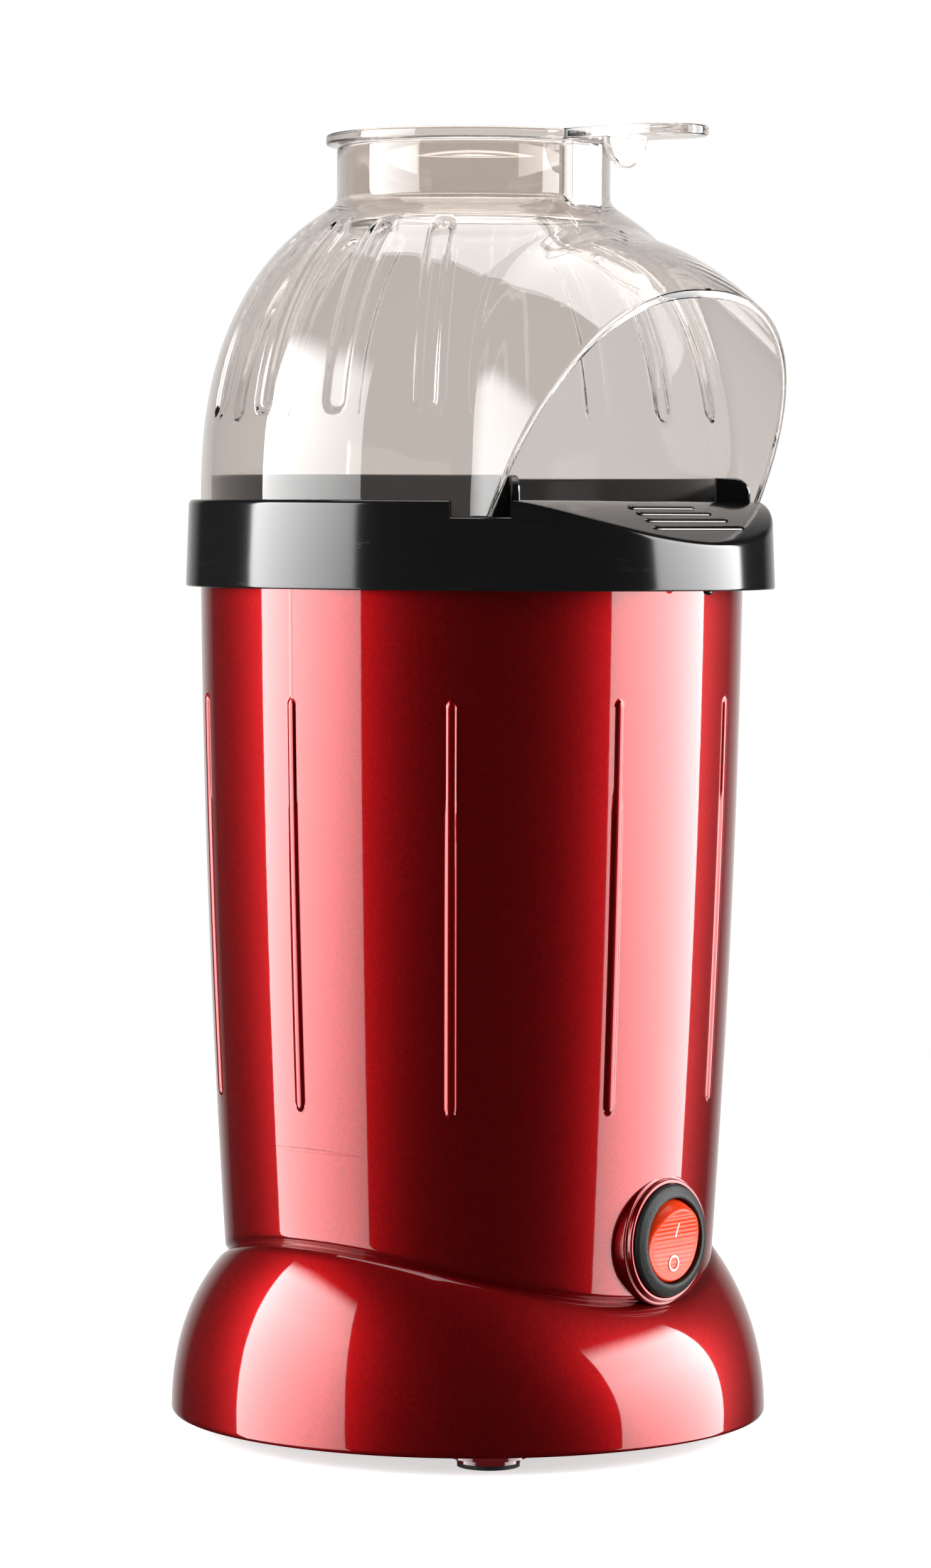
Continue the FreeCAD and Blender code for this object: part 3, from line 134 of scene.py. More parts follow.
# %% Outlines
def rounded(corners, radii, steps=4):
    """Each corner p of closed outlines becomes the parabola (1-t)^2 a + 2t(1-t) p + t^2 b, where a and b lie a radius
    away on its two sides, but never past the sides' middles."""
    corners = np.asarray(corners, float)
    radii = np.broadcast_to(np.asarray(radii, float), len(corners)).reshape([-1] + [1] * (corners.ndim - 1))
    ends = []
    for step in (1, -1):
        side = np.roll(corners, step, 0) - corners
        length = np.linalg.norm(side, axis=-1, keepdims=True)
        ends.append(corners + side * np.minimum(radii / np.maximum(length, 1e-9), 0.48))
    t = np.linspace(0, 1, steps + 1).reshape([1, -1] + [1] * (corners.ndim - 1))
    a, p, b = ends[0][:, None], corners[:, None], ends[1][:, None]
    curve = (1 - t) ** 2 * a + 2 * t * (1 - t) * p + t ** 2 * b
    return curve.reshape([-1] + list(corners.shape[1:]))


def about(radius, turn, level):
    """Points at a radius and a turn (radians from the front) about the upright axis."""
    radius, turn, level = np.broadcast_arrays(radius, turn, level)
    return np.stack([radius * np.sin(turn), radius * np.cos(turn), level], -1)


def lathe(corners, radii, columns=120, steps=4):
    """A closed outline of (radius, level) corners turned about the upright axis."""
    outline = rounded(corners, radii, steps)
    turn = np.linspace(0, 2 * np.pi, columns, endpoint=False)
    return about(outline[:, :1], turn[None], outline[:, 1:])


def facing_front(grid, level):
    """Lays a turned piece on its side, so that its axis points forward at a level: (x, y, z) goes to (x, z, y)."""
    return np.stack([grid[..., 0], grid[..., 2], grid[..., 1] + level], -1)


def plate(outline, thickness, edge):
    """A flat plate with softened edges: four copies of a convex outline, the outer two drawn in towards the middle."""
    outline = np.asarray(outline, float)
    middle = outline.mean(0)
    reach = np.linalg.norm(outline - middle, axis=1, keepdims=True)
    small = middle + (outline - middle) * (1 - edge / reach)
    half = thickness / 2
    layers = [(small, -half), (outline, edge - half), (outline, half - edge), (small, half)]
    return np.stack([np.column_stack([shape, np.full(len(shape), height)]) for shape, height in layers], 1)


def smooth_step(x):
    """3 x^2 - 2 x^3 between nought and one, flat outside."""
    x = np.clip(x, 0, 1)
    return x * x * (3 - 2 * x)


# %% [markdown]
# ## Finishes
#
# A finish starts from what the material is. Colours are written as the eye sees them (sRGB) and turned into amounts of
# light by one function. One small function adds a node with its settings and links.


# %% Colour and nodes
def linear(colour):
    """sRGB hex to linear light: c/12.92 below 0.04045, else ((c+0.055)/1.055)^2.4."""
    c = np.array([int(colour[i:i + 2], 16) for i in (1, 3, 5)]) / 255
    light = np.where(c <= 0.04045, c / 12.92, ((c + 0.055) / 1.055) ** 2.4)
    return (*light.tolist(), 1.0)


def add(tree, kind, inputs=(), **settings):
    """Adds a node; an input is either a number or colour, or the output that feeds it."""
    node = tree.nodes.new(kind)
    for key, value in settings.items():
        setattr(node, key, value)
    for key, value in dict(inputs).items():
        if isinstance(value, bpy.types.NodeSocket):
            tree.links.new(value, node.inputs[key])
        else:
            node.inputs[key].default_value = value
    return node


def blank(name):
    """A material with an empty shader, its tree and its place in the object."""
    material = bpy.data.materials.new(name)
    material.use_nodes = True
    tree = material.node_tree
    return material, tree, tree.nodes["Principled BSDF"], add(tree, "ShaderNodeTexCoord").outputs["Object"]


def per_metre(size):
    """The scale of a pattern whose features are a size across."""
    return 1 / (size * MM)


# %% [markdown]
# Most mouldings, castings and pressings differ in the same few ways: how far their colour wanders, how fine their grain
# is, and how deep it is. One recipe covers them: a broad noise moves the colour, a fine noise moves the gloss and the
# height.


# %% The common recipe
def finished(name, colour, roughness, grain, depth, wander=0.08, **shader):
    """Broad noise (14 mm) mixes the colour with a darker one; fine noise of the grain's size gives gloss and height."""
    material, tree, principled, place = blank(name)
    broad = add(tree, "ShaderNodeTexNoise", {"Vector": place, "Scale": per_metre(14), "Detail": 3.0})
    fine = add(tree, "ShaderNodeTexNoise", {"Vector": place, "Scale": per_metre(grain), "Detail": 4.0})
    light = linear(colour)
    shade = (*[c * (1 - wander) ** 2 for c in light[:3]], 1.0)
    mix = add(tree, "ShaderNodeMix", {"Factor": broad.outputs["Fac"], "A": shade, "B": light}, data_type="RGBA")
    gloss = add(tree, "ShaderNodeMapRange", {"Value": fine.outputs["Fac"], "To Min": roughness * 0.85,
                                             "To Max": min(1.0, roughness * 1.15)})
    bump = add(tree, "ShaderNodeBump", {"Height": fine.outputs["Fac"], "Distance": depth * MM, "Strength": 1.0})
    tree.links.new(mix.outputs["Result"], principled.inputs["Base Color"])
    tree.links.new(gloss.outputs["Result"], principled.inputs["Roughness"])
    tree.links.new(bump.outputs["Normal"], principled.inputs["Normal"])
    for key, value in shader.items():
        principled.inputs[key.replace("_", " ")].default_value = value
    return material


# %% [markdown]
# ### Red lacquer
#
# The housing is ABS, sprayed with a red metallic base coat and a clear coat. The base coat is a bed of fine flakes, so
# light spreads in it and the sides fade slowly into the dark middle; the clear coat mirrors the lamps sharply on top.
# A plain red plastic would have neither. Real flakes are about 0.05 mm, too fine to show, so they are drawn 0.3 mm.

# %% Red lacquer
red_lacquer, tree, principled, place = blank("red_metallic_lacquer")
flakes = add(tree, "ShaderNodeTexVoronoi", {"Vector": place, "Scale": per_metre(0.3)})
flake_tone = add(tree, "ShaderNodeSeparateColor", {"Color": flakes.outputs["Color"]})
base = add(tree, "ShaderNodeMix", {"Factor": flake_tone.outputs["Red"], "A": linear("#74080b"), "B": linear("#860a0e")},
           data_type="RGBA")
spread = add(tree, "ShaderNodeMapRange", {"Value": flake_tone.outputs["Green"], "To Min": 0.40, "To Max": 0.50})
flake_tilt = add(tree, "ShaderNodeBump", {"Height": flake_tone.outputs["Blue"], "Distance": 0.004 * MM,
                                          "Strength": 0.6})
peel = add(tree, "ShaderNodeTexNoise", {"Vector": place, "Scale": per_metre(5.0), "Detail": 1.0})
peel_tilt = add(tree, "ShaderNodeBump", {"Height": peel.outputs["Fac"], "Distance": 0.010 * MM, "Strength": 0.5})
for source, socket in ((base.outputs["Result"], "Base Color"), (spread.outputs["Result"], "Roughness"),
                       (flake_tilt.outputs["Normal"], "Normal"), (peel_tilt.outputs["Normal"], "Coat Normal")):
    tree.links.new(source, principled.inputs[socket])
for socket, value in (("Metallic", 0.92), ("Specular IOR Level", 0.0), ("Coat Weight", 1.0),
                      ("Coat Roughness", 0.04), ("Coat IOR", 1.5)):
    principled.inputs[socket].default_value = value

# %% [markdown]
# ### Gloss black and clear mouldings
#
# The collar is black ABS from a polished mould: nearly a mirror, with faint flow waves and a few hairline scuffs from
# handling. The cover and cup are clear polycarbonate, a little warm and grey in the thickness. Light bends at both
# skins, so these have true walls, not a single sheet.

# %% Black ABS
black_abs, tree, principled, place = blank("black_gloss_abs")
waves = add(tree, "ShaderNodeTexNoise", {"Vector": place, "Scale": per_metre(9.0), "Detail": 2.0})
stretch = add(tree, "ShaderNodeMapping", {"Vector": place, "Scale": (1.0, 1.0, 9.0), "Rotation": (0.4, 0.3, 0.0)})
scuffs = add(tree, "ShaderNodeTexNoise", {"Vector": stretch.outputs["Vector"], "Scale": per_metre(6.0), "Detail": 8.0,
                                          "Roughness": 0.75})
worn = add(tree, "ShaderNodeMapRange", {"Value": scuffs.outputs["Fac"], "From Min": 0.60, "From Max": 0.75,
                                        "To Min": 0.12, "To Max": 0.34})
tone = add(tree, "ShaderNodeMapRange", {"Value": scuffs.outputs["Fac"], "From Min": 0.55, "From Max": 0.8})
colour = add(tree, "ShaderNodeMix", {"Factor": tone.outputs["Result"], "A": linear("#0e0e0f"), "B": linear("#1b1b1c")},
             data_type="RGBA")
flow = add(tree, "ShaderNodeBump", {"Height": waves.outputs["Fac"], "Distance": 0.02 * MM, "Strength": 0.5})
for source, socket in ((colour.outputs["Result"], "Base Color"), (worn.outputs["Result"], "Roughness"),
                       (flow.outputs["Normal"], "Normal")):
    tree.links.new(source, principled.inputs[socket])
principled.inputs["IOR"].default_value = 1.54


# %% Clear polycarbonate
def clear_plastic(name, tint, waviness):
    """Clear polycarbonate: light passes with a faint tint; two slow noises make the flow waves of a moulded wall."""
    material, tree, principled, place = blank(name)
    slow = add(tree, "ShaderNodeTexNoise", {"Vector": place, "Scale": per_metre(16.0), "Detail": 1.0})
    haze = add(tree, "ShaderNodeTexNoise", {"Vector": place, "Scale": per_metre(5.0), "Detail": 4.0})
    tilt = add(tree, "ShaderNodeBump", {"Height": slow.outputs["Fac"], "Distance": waviness * MM, "Strength": 0.6})
    soft = add(tree, "ShaderNodeMapRange", {"Value": haze.outputs["Fac"], "From Min": 0.3, "From Max": 0.8,
                                            "To Min": 0.0, "To Max": 0.05})
    tree.links.new(tilt.outputs["Normal"], principled.inputs["Normal"])
    tree.links.new(soft.outputs["Result"], principled.inputs["Roughness"])
    principled.inputs["Base Color"].default_value = linear(tint)
    principled.inputs["Transmission Weight"].default_value = 1.0
    principled.inputs["IOR"].default_value = 1.53
    return material


clear_cover = clear_plastic("clear_polycarbonate", "#f4f1ef", 0.12)
clear_cup = clear_plastic("clear_polycarbonate_cup", "#f1edea", 0.04)
clear_cup.node_tree.nodes["Principled BSDF"].inputs["Specular IOR Level"].default_value = 0.2

# %% [markdown]
# ### The switch's plastics
#
# The bezel is glass-filled nylon from a spark-eroded mould, which leaves a fine even grain. The rocker is a translucent
# orange-red polycarbonate with a lamp behind it, and its marks are printed.

# %% Switch finishes
bezel_nylon = finished("black_eroded_nylon", "#0c0e0e", 0.56, 0.5, 0.06, IOR=1.42)
rocker_red = finished("red_translucent_polycarbonate", "#e23a12", 0.26, 0.8, 0.004, wander=0.05, IOR=1.36,
                      Transmission_Weight=0.15)
mark_print = finished("pink_white_print", "#f3c9bf", 0.5, 0.3, 0.004)

# %% [markdown]
# ### Everything else
#
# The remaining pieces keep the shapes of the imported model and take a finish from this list: each row is a real
# material, its colour, its roughness, its grain in millimetres and how deep that grain is.

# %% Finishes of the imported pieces
METAL = {"Metallic": 1.0}
finishes = {
    "red_paint": red_lacquer,
    "black_plastic": black_abs,
    "clear_plastic": clear_cover,
    "dark_red_plastic": finished("dark_red_gloss_abs", "#6a0a10", 0.16, 1.2, 0.004, IOR=1.54, Coat_Weight=0.5),
    "black_rubber": finished("black_moulded_rubber", "#151515", 0.72, 0.6, 0.03, IOR=1.52),
    "zinc_steel": finished("zinc_plated_steel", "#b9bcc2", 0.32, 0.5, 0.01, 0.15, **METAL),
    "grey_silicone": finished("grey_silicone_rubber", "#8b8e90", 0.6, 0.8, 0.01, IOR=1.41),
    "chamber_aluminium": finished("anodised_deep_drawn_aluminium", "#4a4b4e", 0.38, 0.5, 0.01, 0.2, **METAL),
    "sheet_steel": finished("rolled_sheet_steel", "#9a9c9f", 0.35, 0.7, 0.01, 0.12, **METAL),
    "rivet_aluminium": finished("cold_headed_aluminium", "#c9cbcd", 0.3, 0.4, 0.008, **METAL),
    "mica_board": finished("phlogopite_mica_board", "#b9a98a", 0.45, 1.6, 0.03, 0.25, IOR=1.58),
    "resistance_wire": finished("nichrome_resistance_wire", "#8f8a86", 0.4, 0.3, 0.01, 0.2, **METAL),
    "thermostat_body": finished("black_phenolic", "#1b1716", 0.4, 0.5, 0.01, IOR=1.6),
    "fuse_metal": finished("tinned_brass", "#c9c4b4", 0.28, 0.4, 0.005, **METAL),
    "heatproof_plastic": finished("heatproof_polyester", "#22201e", 0.5, 0.6, 0.02, IOR=1.58),
    "fan_aluminium": finished("stamped_aluminium", "#c3c5c8", 0.34, 0.6, 0.01, **METAL),
    "white_nylon": finished("natural_nylon", "#e4e0d4", 0.45, 0.8, 0.01, IOR=1.53),
    "sintered_bronze": finished("sintered_bronze", "#8f6a3c", 0.5, 0.25, 0.02, 0.2, **METAL),
    "ferrite": finished("pressed_ferrite", "#35363a", 0.7, 0.4, 0.02, IOR=2.3),
    "laminated_steel": finished("laminated_core_steel", "#84868a", 0.4, 0.5, 0.02, 0.2, **METAL),
    "copper": finished("drawn_copper", "#c0714a", 0.3, 0.4, 0.006, **METAL),
    "shaft_steel": finished("ground_shaft_steel", "#c8cacc", 0.18, 0.3, 0.003, **METAL),
    "carbon": finished("pressed_carbon_brush", "#1d1d1e", 0.6, 0.3, 0.01, IOR=1.9),
    "circuit_board": finished("paper_phenolic_board", "#a8803e", 0.5, 0.8, 0.01, 0.15, IOR=1.55),
    "diode_body": finished("black_epoxy", "#161617", 0.4, 0.4, 0.006, IOR=1.55),
    "brass_tab": finished("stamped_brass", "#c9a45a", 0.3, 0.4, 0.006, **METAL),
    "red_translucent": rocker_red,
    "lamp_glass": finished("neon_lamp_glass", "#e9e2dc", 0.08, 2.0, 0.002, IOR=1.5, Transmission_Weight=0.9),
}
for name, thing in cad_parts.items():
    for material_slot in thing.material_slots:
        was = material_slot.material.name.split(".")[0] if material_slot.material else ""
        material_slot.material = finishes.get(was, finishes["zinc_steel"])
print(len(finishes), "finishes")

# %% [markdown]
# ## The red housing
#
# It is one moulding: a barrel that widens slowly upwards, with a slight belly, on a foot that flares out below a wavy
# crease. Ten raised beads run up the barrel. The crease's level is a cosine that rises and falls twice a turn, so the
# foot's profile is worked out afresh for each column. A lathe could not do that, and a sculpted mesh would not keep the
# sizes.

# %% Barrel and flare
WALL, FOOT_LIFT, SKIRT, SHELL_TOP = 2.2, 3.8, 62.1, 182.6
BEAD_LOW, BEAD_HIGH, BEAD_WIDTH, BEAD_PROUD, BEAD_TAPER, BEAD_SPACING = 70.4, 153.7, 2.1, 0.55, 1.9, 36.0
WAIST_LEVEL, WAIST, TAPER, BELLY, COLLAR_LOW = 38.8, 51.0, 5.3, 0.85, 175.5


def barrel_radius(level):
    """51 mm at the waist, a straight taper to 56.3 mm under the collar, and a parabola that adds 0.85 mm half way."""
    share = (level - WAIST_LEVEL) / (COLLAR_LOW - WAIST_LEVEL)
    return WAIST + TAPER * share + 4 * BELLY * share * (1 - share)


def crease_level(turn):
    return 37.1 - 6.1 * np.cos(2 * turn)


def flare_profile(turn, t):
    """A cubic curve for each turn: upright at the skirt, leaning in, and tucked under the barrel's edge."""
    crease = crease_level(turn)
    waist = barrel_radius(crease)
    rise, spread = crease - FOOT_LIFT, SKIRT - waist
    weights = [(1 - t) ** 3, 3 * t * (1 - t) ** 2, 3 * t ** 2 * (1 - t), t ** 3]
    radii = [SKIRT, SKIRT, waist + 0.66 * spread, waist - 1.5]
    levels = [FOOT_LIFT, FOOT_LIFT + 0.42 * rise, FOOT_LIFT + 0.79 * rise, crease + 1.5]
    return sum(w * r for w, r in zip(weights, radii)), sum(w * z for w, z in zip(weights, levels))


def crowded(start, end, step, places, half, count):
    """Even steps from start to end, with extra ones close to the given places."""
    even = np.arange(start, end, step)
    places = np.asarray(places, float)
    even = even[np.abs(even[:, None] - places).min(1) > half]
    near = (places[:, None] + np.linspace(-half, half, count)).ravel()
    return np.unique(np.round(np.concatenate([even, near[(near >= start) & (near < end)]]), 4))


bead_turns = (np.arange(10) + 0.5) * BEAD_SPACING
turn = np.radians(crowded(0.0, 360.0, 1.2, bead_turns, 1.9, 15))
scan = np.linspace(0.6, 1.0, 400)[:, None]
scan_radius, scan_level = flare_profile(turn[None], scan)
meets = scan[np.argmax(scan_radius < barrel_radius(scan_level), 0), 0]
share = np.concatenate([np.linspace(0, 0.86, 34), 1 - np.geomspace(0.12, 0.004, 9), [1.0]])[:, None]
flare_radius, flare_level = flare_profile(turn[None], share * meets)
crease_at = flare_level[-1]
low_steps = np.concatenate([[0.25, 0.5, 0.8, 1.2, 1.7, 2.4, 3.4], np.linspace(5, 20, 7)])[:, None]
climb = np.linspace(0.0, 1.0, 8)[1:, None]
upper = crowded(64.0, SHELL_TOP - 0.4, 3.2, [BEAD_LOW + 0.6, BEAD_HIGH - 0.6, 174.6], 1.8, 11)[:, None]
levels = np.vstack([crease_at + low_steps, (crease_at + 20) + (62.0 - crease_at - 20) * climb,
                    upper + 0 * turn, np.full((1, len(turn)), SHELL_TOP - 0.35)])
print("housing:", len(turn), "columns,", len(share) + len(levels), "rows outside")


# %% [markdown]
# A bead is a bar of round section with tapered ends. Its height is taken from the distance to the bar's spine: nought
# at the edge and 0.55 mm in the middle. The barrel's lower edge turns in to the crease, so a narrow groove is taken off
# there; it catches the thin bright line that runs round the machine. Over the beads at the two sides the mould's halves
# met, and a hair-thin line is left.

# %% Beads, groove and skins
def bead_height(turn, level, radius):
    """0.55 mm times a rounded function of the distance from the bead's spine; the ends are drawn out 1.8 times."""
    offset = np.degrees(turn) % BEAD_SPACING - BEAD_SPACING / 2
    across = np.radians(offset) * radius / (BEAD_WIDTH / 2)
    past = np.maximum(np.maximum(BEAD_LOW + BEAD_TAPER - level, level - BEAD_HIGH + BEAD_TAPER), 0) / BEAD_TAPER
    away = np.sqrt(across ** 2 + past ** 2)
    return BEAD_PROUD * np.sqrt(np.clip(1 - away ** 2, 0, 1)) ** 0.8


def seam_height(turn, level, radius):
    """A ridge 0.07 mm high and 0.4 mm wide at the two sides, between the beads and the collar."""
    across = (np.abs((np.degrees(turn) + 180) % 360 - 180) - 90) * np.radians(radius)
    return 0.07 * np.exp(-(across / 0.22) ** 2) * (level > BEAD_HIGH)


def groove(level, depth=0.75, width=0.75):
    return depth * np.exp(-((level - crease_at) / width) ** 2)


barrel_skin = barrel_radius(levels)
barrel_skin = barrel_skin + bead_height(turn, levels, barrel_skin) + seam_height(turn, levels, barrel_skin)
outer_radius = np.vstack([flare_radius - groove(flare_level), barrel_skin - groove(levels)])
outer_level = np.vstack([flare_level, levels])
edge_radius = np.vstack([outer_radius[:1] - 0.9, outer_radius[:1] - 0.25])
edge_level = np.vstack([outer_level[:1], outer_level[:1] + 0.05])
outer_level[0] += 0.5
inner_radius = np.vstack([flare_radius - WALL, barrel_radius(levels) - WALL])[::-1][::2]
inner_level = np.vstack([flare_level, levels])[::-1][::2]
top_radius = np.vstack([barrel_skin[-1:] - 0.4, inner_radius[:1] + 0.4])
top_level = np.full((2, len(turn)), SHELL_TOP)
inner_level[-1] = FOOT_LIFT
radius = np.vstack([edge_radius, outer_radius, top_radius, inner_radius])
level = np.vstack([edge_level, outer_level, top_level, inner_level])
body_shell = piece("red_housing", [net(about(radius, turn[None], level), True, True)], red_lacquer, "housing",
                   ["body_shell"], crease=40.0)

# %% [markdown]
# The switch and the cord's gland need round holes. Cutting them with a Boolean keeps the grid simple.

# %% Holes for the switch and the gland
def carve(thing, tool, operation, crease):
    """Runs a Boolean with another object, keeps the result as the mesh and takes the other object away."""
    step = thing.modifiers.new("carve", "BOOLEAN")
    step.object, step.operation, step.solver = tool, operation, "EXACT"
    mesh = bpy.data.meshes.new_from_object(thing.evaluated_get(bpy.context.evaluated_depsgraph_get()))
    thing.modifiers.clear()
    thing.data = mesh
    bpy.data.objects.remove(tool)
    mesh.shade_smooth()
    mesh.set_sharp_from_angle(angle=np.radians(crease))
    print(thing.name, "after", operation.lower(), len(mesh.polygons), "faces")


SWITCH_LEVEL, SWITCH_FACE = 43.6, 52.5
cutters = [
    facing_front(lathe([(0, 30), (10.0, 30), (10.0, 70), (0, 70)], 0, 96, 1), SWITCH_LEVEL),
    facing_front(lathe([(0, -70), (5.7, -70), (5.7, -40), (0, -40)], 0, 72, 1), 17.0),
]
cutter = piece("cutter", [net(grid, True, True) for grid in cutters], red_lacquer, "housing")
carve(body_shell, cutter, "DIFFERENCE", 40.0)

# %% [markdown]
# Round the switch stand two steps of the same red moulding, an outer one and a lip that holds the bezel. They are
# turned outlines laid on their side.

# %% Switch boss and gland seat
boss = facing_front(lathe([(11.6, 47.2), (13.3, 47.2), (13.3, 52.0), (12.5, 52.0), (12.5, 53.2), (11.6, 53.2)],
                          [0, 0, 0.45, 0.3, 0.45, 0.25], 128), SWITCH_LEVEL)
seat = facing_front(lathe([(5.8, -62.2), (9.0, -62.2), (9.0, -56.0), (5.8, -56.0)], [0.2, 0.4, 0, 0], 96), 17.0)
piece("switch_boss", [net(boss, True, True), net(seat, True, True)], red_lacquer, "housing")

# %% [markdown]
# ## The black collar
#
# Its plan is a circle drawn out to a smaller circle at the nose, with straight tangents between. Behind, it carries the
# groove that the cover drops into and the inner ring that centres it. In front of the two wings lies the pouring tray,
# which falls faster and faster towards the nose.


# %% Collar outline
COLLAR_TOP, COLLAR_RADIUS, TOP_RADIUS, NOSE_RADIUS, NOSE_CENTRE = 193.4, 59.4, 58.8, 50.2, 16.0
TRAY_START, TRAY_LENGTH, TRAY_DROP, WING_TURN = 43.75, 22.45, 8.9, 41.5


def collar_reach(turn, radius):
    """Distance to the plan at a turn: the circle behind, R / cos of the angle past the tangent point on the flats, and
    the nose circle's far side in front."""
    nose, centre = NOSE_RADIUS - (COLLAR_RADIUS - radius), NOSE_CENTRE
    lean = np.arccos((radius - nose) / centre)
    away = np.abs(turn)
    near = np.arctan2(nose * np.sin(lean), centre + nose * np.cos(lean))
    nose_reach = centre * np.cos(away) + np.sqrt(np.maximum(nose ** 2 - (centre * np.sin(away)) ** 2, 0))
    return np.where(away >= lean, radius, np.where(away < near, nose_reach, radius / np.cos(lean - away)))


def tray_level(forward):
    share = np.clip((forward - TRAY_START) / TRAY_LENGTH, 0, None)
    return COLLAR_TOP - TRAY_DROP * share ** 1.45


SOCKET, THROAT, DECK, LAND, FLOOR, RING_TOP = 56.9, 44.2, 183.0, 190.1, 188.4, 198.4
turn = np.radians(np.concatenate([[42.5], np.linspace(43, 54.3, 14), [54.45], np.linspace(55.5, 304.5, 190), [305.55],
                                  np.linspace(305.7, 317, 14), [317.5]]))
signed = (turn + np.pi) % (2 * np.pi) - np.pi
land = np.where(np.abs(np.degrees(signed)) < 54.4, LAND, COLLAR_TOP)
flat = np.zeros_like(turn)
corners = [(flat + SOCKET, flat + COLLAR_LOW), (collar_reach(signed, COLLAR_RADIUS), flat + COLLAR_LOW),
           (collar_reach(signed, TOP_RADIUS), land), (flat + 56.65, land), (flat + 56.65, flat + FLOOR),
           (flat + 54.35, flat + FLOOR), (flat + 54.35, flat + RING_TOP), (flat + 52.35, flat + RING_TOP),
           (flat + 52.35, flat + 187.0), (flat + THROAT, flat + 185.0), (flat + THROAT, flat + DECK),
           (flat + SOCKET, flat + DECK)]
outline = rounded(np.moveaxis(np.array(corners), 1, -1),
                  [0.2, 0.5, 1.1, 0.3, 0.3, 0.3, 0.6, 0.6, 0.6, 0.6, 0.2, 0.3], 5)
back_ring = about(outline[..., 0], turn[None], outline[..., 1])
print("collar ring:", back_ring.shape)

# %% Pouring tray
turn = np.radians(np.linspace(-42.7, 42.7, 90))
outer, inner = collar_reach(turn, TOP_RADIUS), np.maximum(THROAT, 38.6 / np.cos(turn))
steps = np.linspace(0, 1, 16)[:, None]
tray_reach = outer + (inner - outer) * steps
tray = np.stack([tray_reach, tray_level(tray_reach * np.cos(turn))], -1)
flat = np.zeros_like(turn)
under = np.moveaxis(np.array([(inner, flat + DECK), (collar_reach(turn, SOCKET), flat + DECK),
                              (collar_reach(turn, SOCKET), flat + COLLAR_LOW),
                              (collar_reach(turn, COLLAR_RADIUS), flat + COLLAR_LOW)]), 1, -1)
outline = rounded(np.concatenate([tray, under]), [1.1] + [0] * 14 + [0.5, 0.2, 0.3, 0.2, 0.5], 5)
front_tray = about(outline[..., 0], turn[None], outline[..., 1])

# %% Wings and grip ribs
corner = np.radians(np.linspace(0, 90, 9))
wing_outline = np.vstack([[(50.5, 190.2), (57.9, 190.2)],
                          np.column_stack([54.4 + 3.5 * np.cos(corner), 194.9 + 3.5 * np.sin(corner)]),
                          [(50.5, RING_TOP)]])
shells = [net(back_ring, True, False, True), net(front_tray, True, False, True)]
for side in (-1, 1):
    wing = plate(wing_outline, 1.8, 0.35)
    lean = np.radians(WING_TURN) * side
    reach, height, offset = wing[..., 0], wing[..., 1], wing[..., 2]
    wing = np.stack([reach * np.sin(lean) + offset * np.cos(lean), reach * np.cos(lean) - offset * np.sin(lean),
                     height], -1)
    shells.append(net(wing, True, False, True))
along, about_rib = np.linspace(-1, 1, 25)[None], np.linspace(0, 2 * np.pi, 16, endpoint=False)[:, None]
for i in range(4):
    half, forward = 11.0 + 1.5 * i, 49.9 + 3.2 * i
    taper = np.sqrt(np.clip(1 - (np.abs(along) - 0.93).clip(0) ** 2 / 0.07 ** 2, 0, 1))
    y = forward + 0.75 * np.cos(about_rib) * taper
    rib = np.stack([half * along + 0 * about_rib, y, tray_level(y) + 0.5 * np.sin(about_rib) * taper], -1)
    shells.append(net(rib, True))
longitude = np.linspace(0, 2 * np.pi, 16, endpoint=False)[None]
latitude = np.linspace(-np.pi / 2, np.pi / 2, 9)[:, None]
nub = np.stack([1.2 * np.cos(latitude) * np.cos(longitude), 61.9 + 0.9 * np.cos(latitude) * np.sin(longitude),
                175.3 + 0.7 * np.sin(latitude) + 0 * longitude], -1)
shells.append(net(nub, False, True))
piece("black_collar", shells, black_abs, "housing", ["collar"])

# %% [markdown]
# ## The clear cover
#
# It is the hardest shape here: a dome with thirteen sunk flutes, a neck on top, and a spout hood that runs out of its
# side as one smooth wall. Two separate surfaces would show a seam in clear plastic. So the cover is one grid: rays leave
# the axis, each is followed until it has left both the dome and the hood, and a smooth maximum of the two distances
# gives the skin. Rays that would pass out through the mouth are left out by starting each row at the mouth's own edge.
# The inner skin is the same again with the wall taken off.


# %% Dome and hood as insides and outsides
BASE, HEIGHT, COVER_RADIUS, COVER_WALL, POWER = 194.2, 66.1, 56.3, 1.6, 2.35
HOOD_FOOT, HOOD_HALF, HOOD_START, CENTRE = 190.45, 43.7, 35.5, 200.0


def outside_dome(x, forward, z, inset):
    """(r/R)^p + (h/H)^p - 1, below nought inside; under its base the dome goes straight down."""
    return (np.hypot(x, forward) / (COVER_RADIUS - inset)) ** POWER + (
        np.maximum(z - BASE, 0) / (HEIGHT - inset)) ** POWER - 1


def outside_hood(x, forward, z, inset):
    """An arch (x/w)^n + (h/rise)^n - 1 that sinks, leans forward and grows rounder towards the mouth. How far out the
    point lies is found by repeating forward = start + 5 f + 21 f u with the height share u of the last round."""
    share, up = np.zeros_like(z), np.maximum(z - HOOD_FOOT, 0)
    for _ in range(14):
        u = np.minimum(up / (57.4 - 12.2 * share ** 1.6 - inset), 1.6)
        share = np.clip((forward - HOOD_START) / (5 + 21 * u), 0, 1.3)
    power = 2.6 - 0.25 * share
    return (np.abs(x) / (HOOD_HALF - inset)) ** power + u ** power - 1


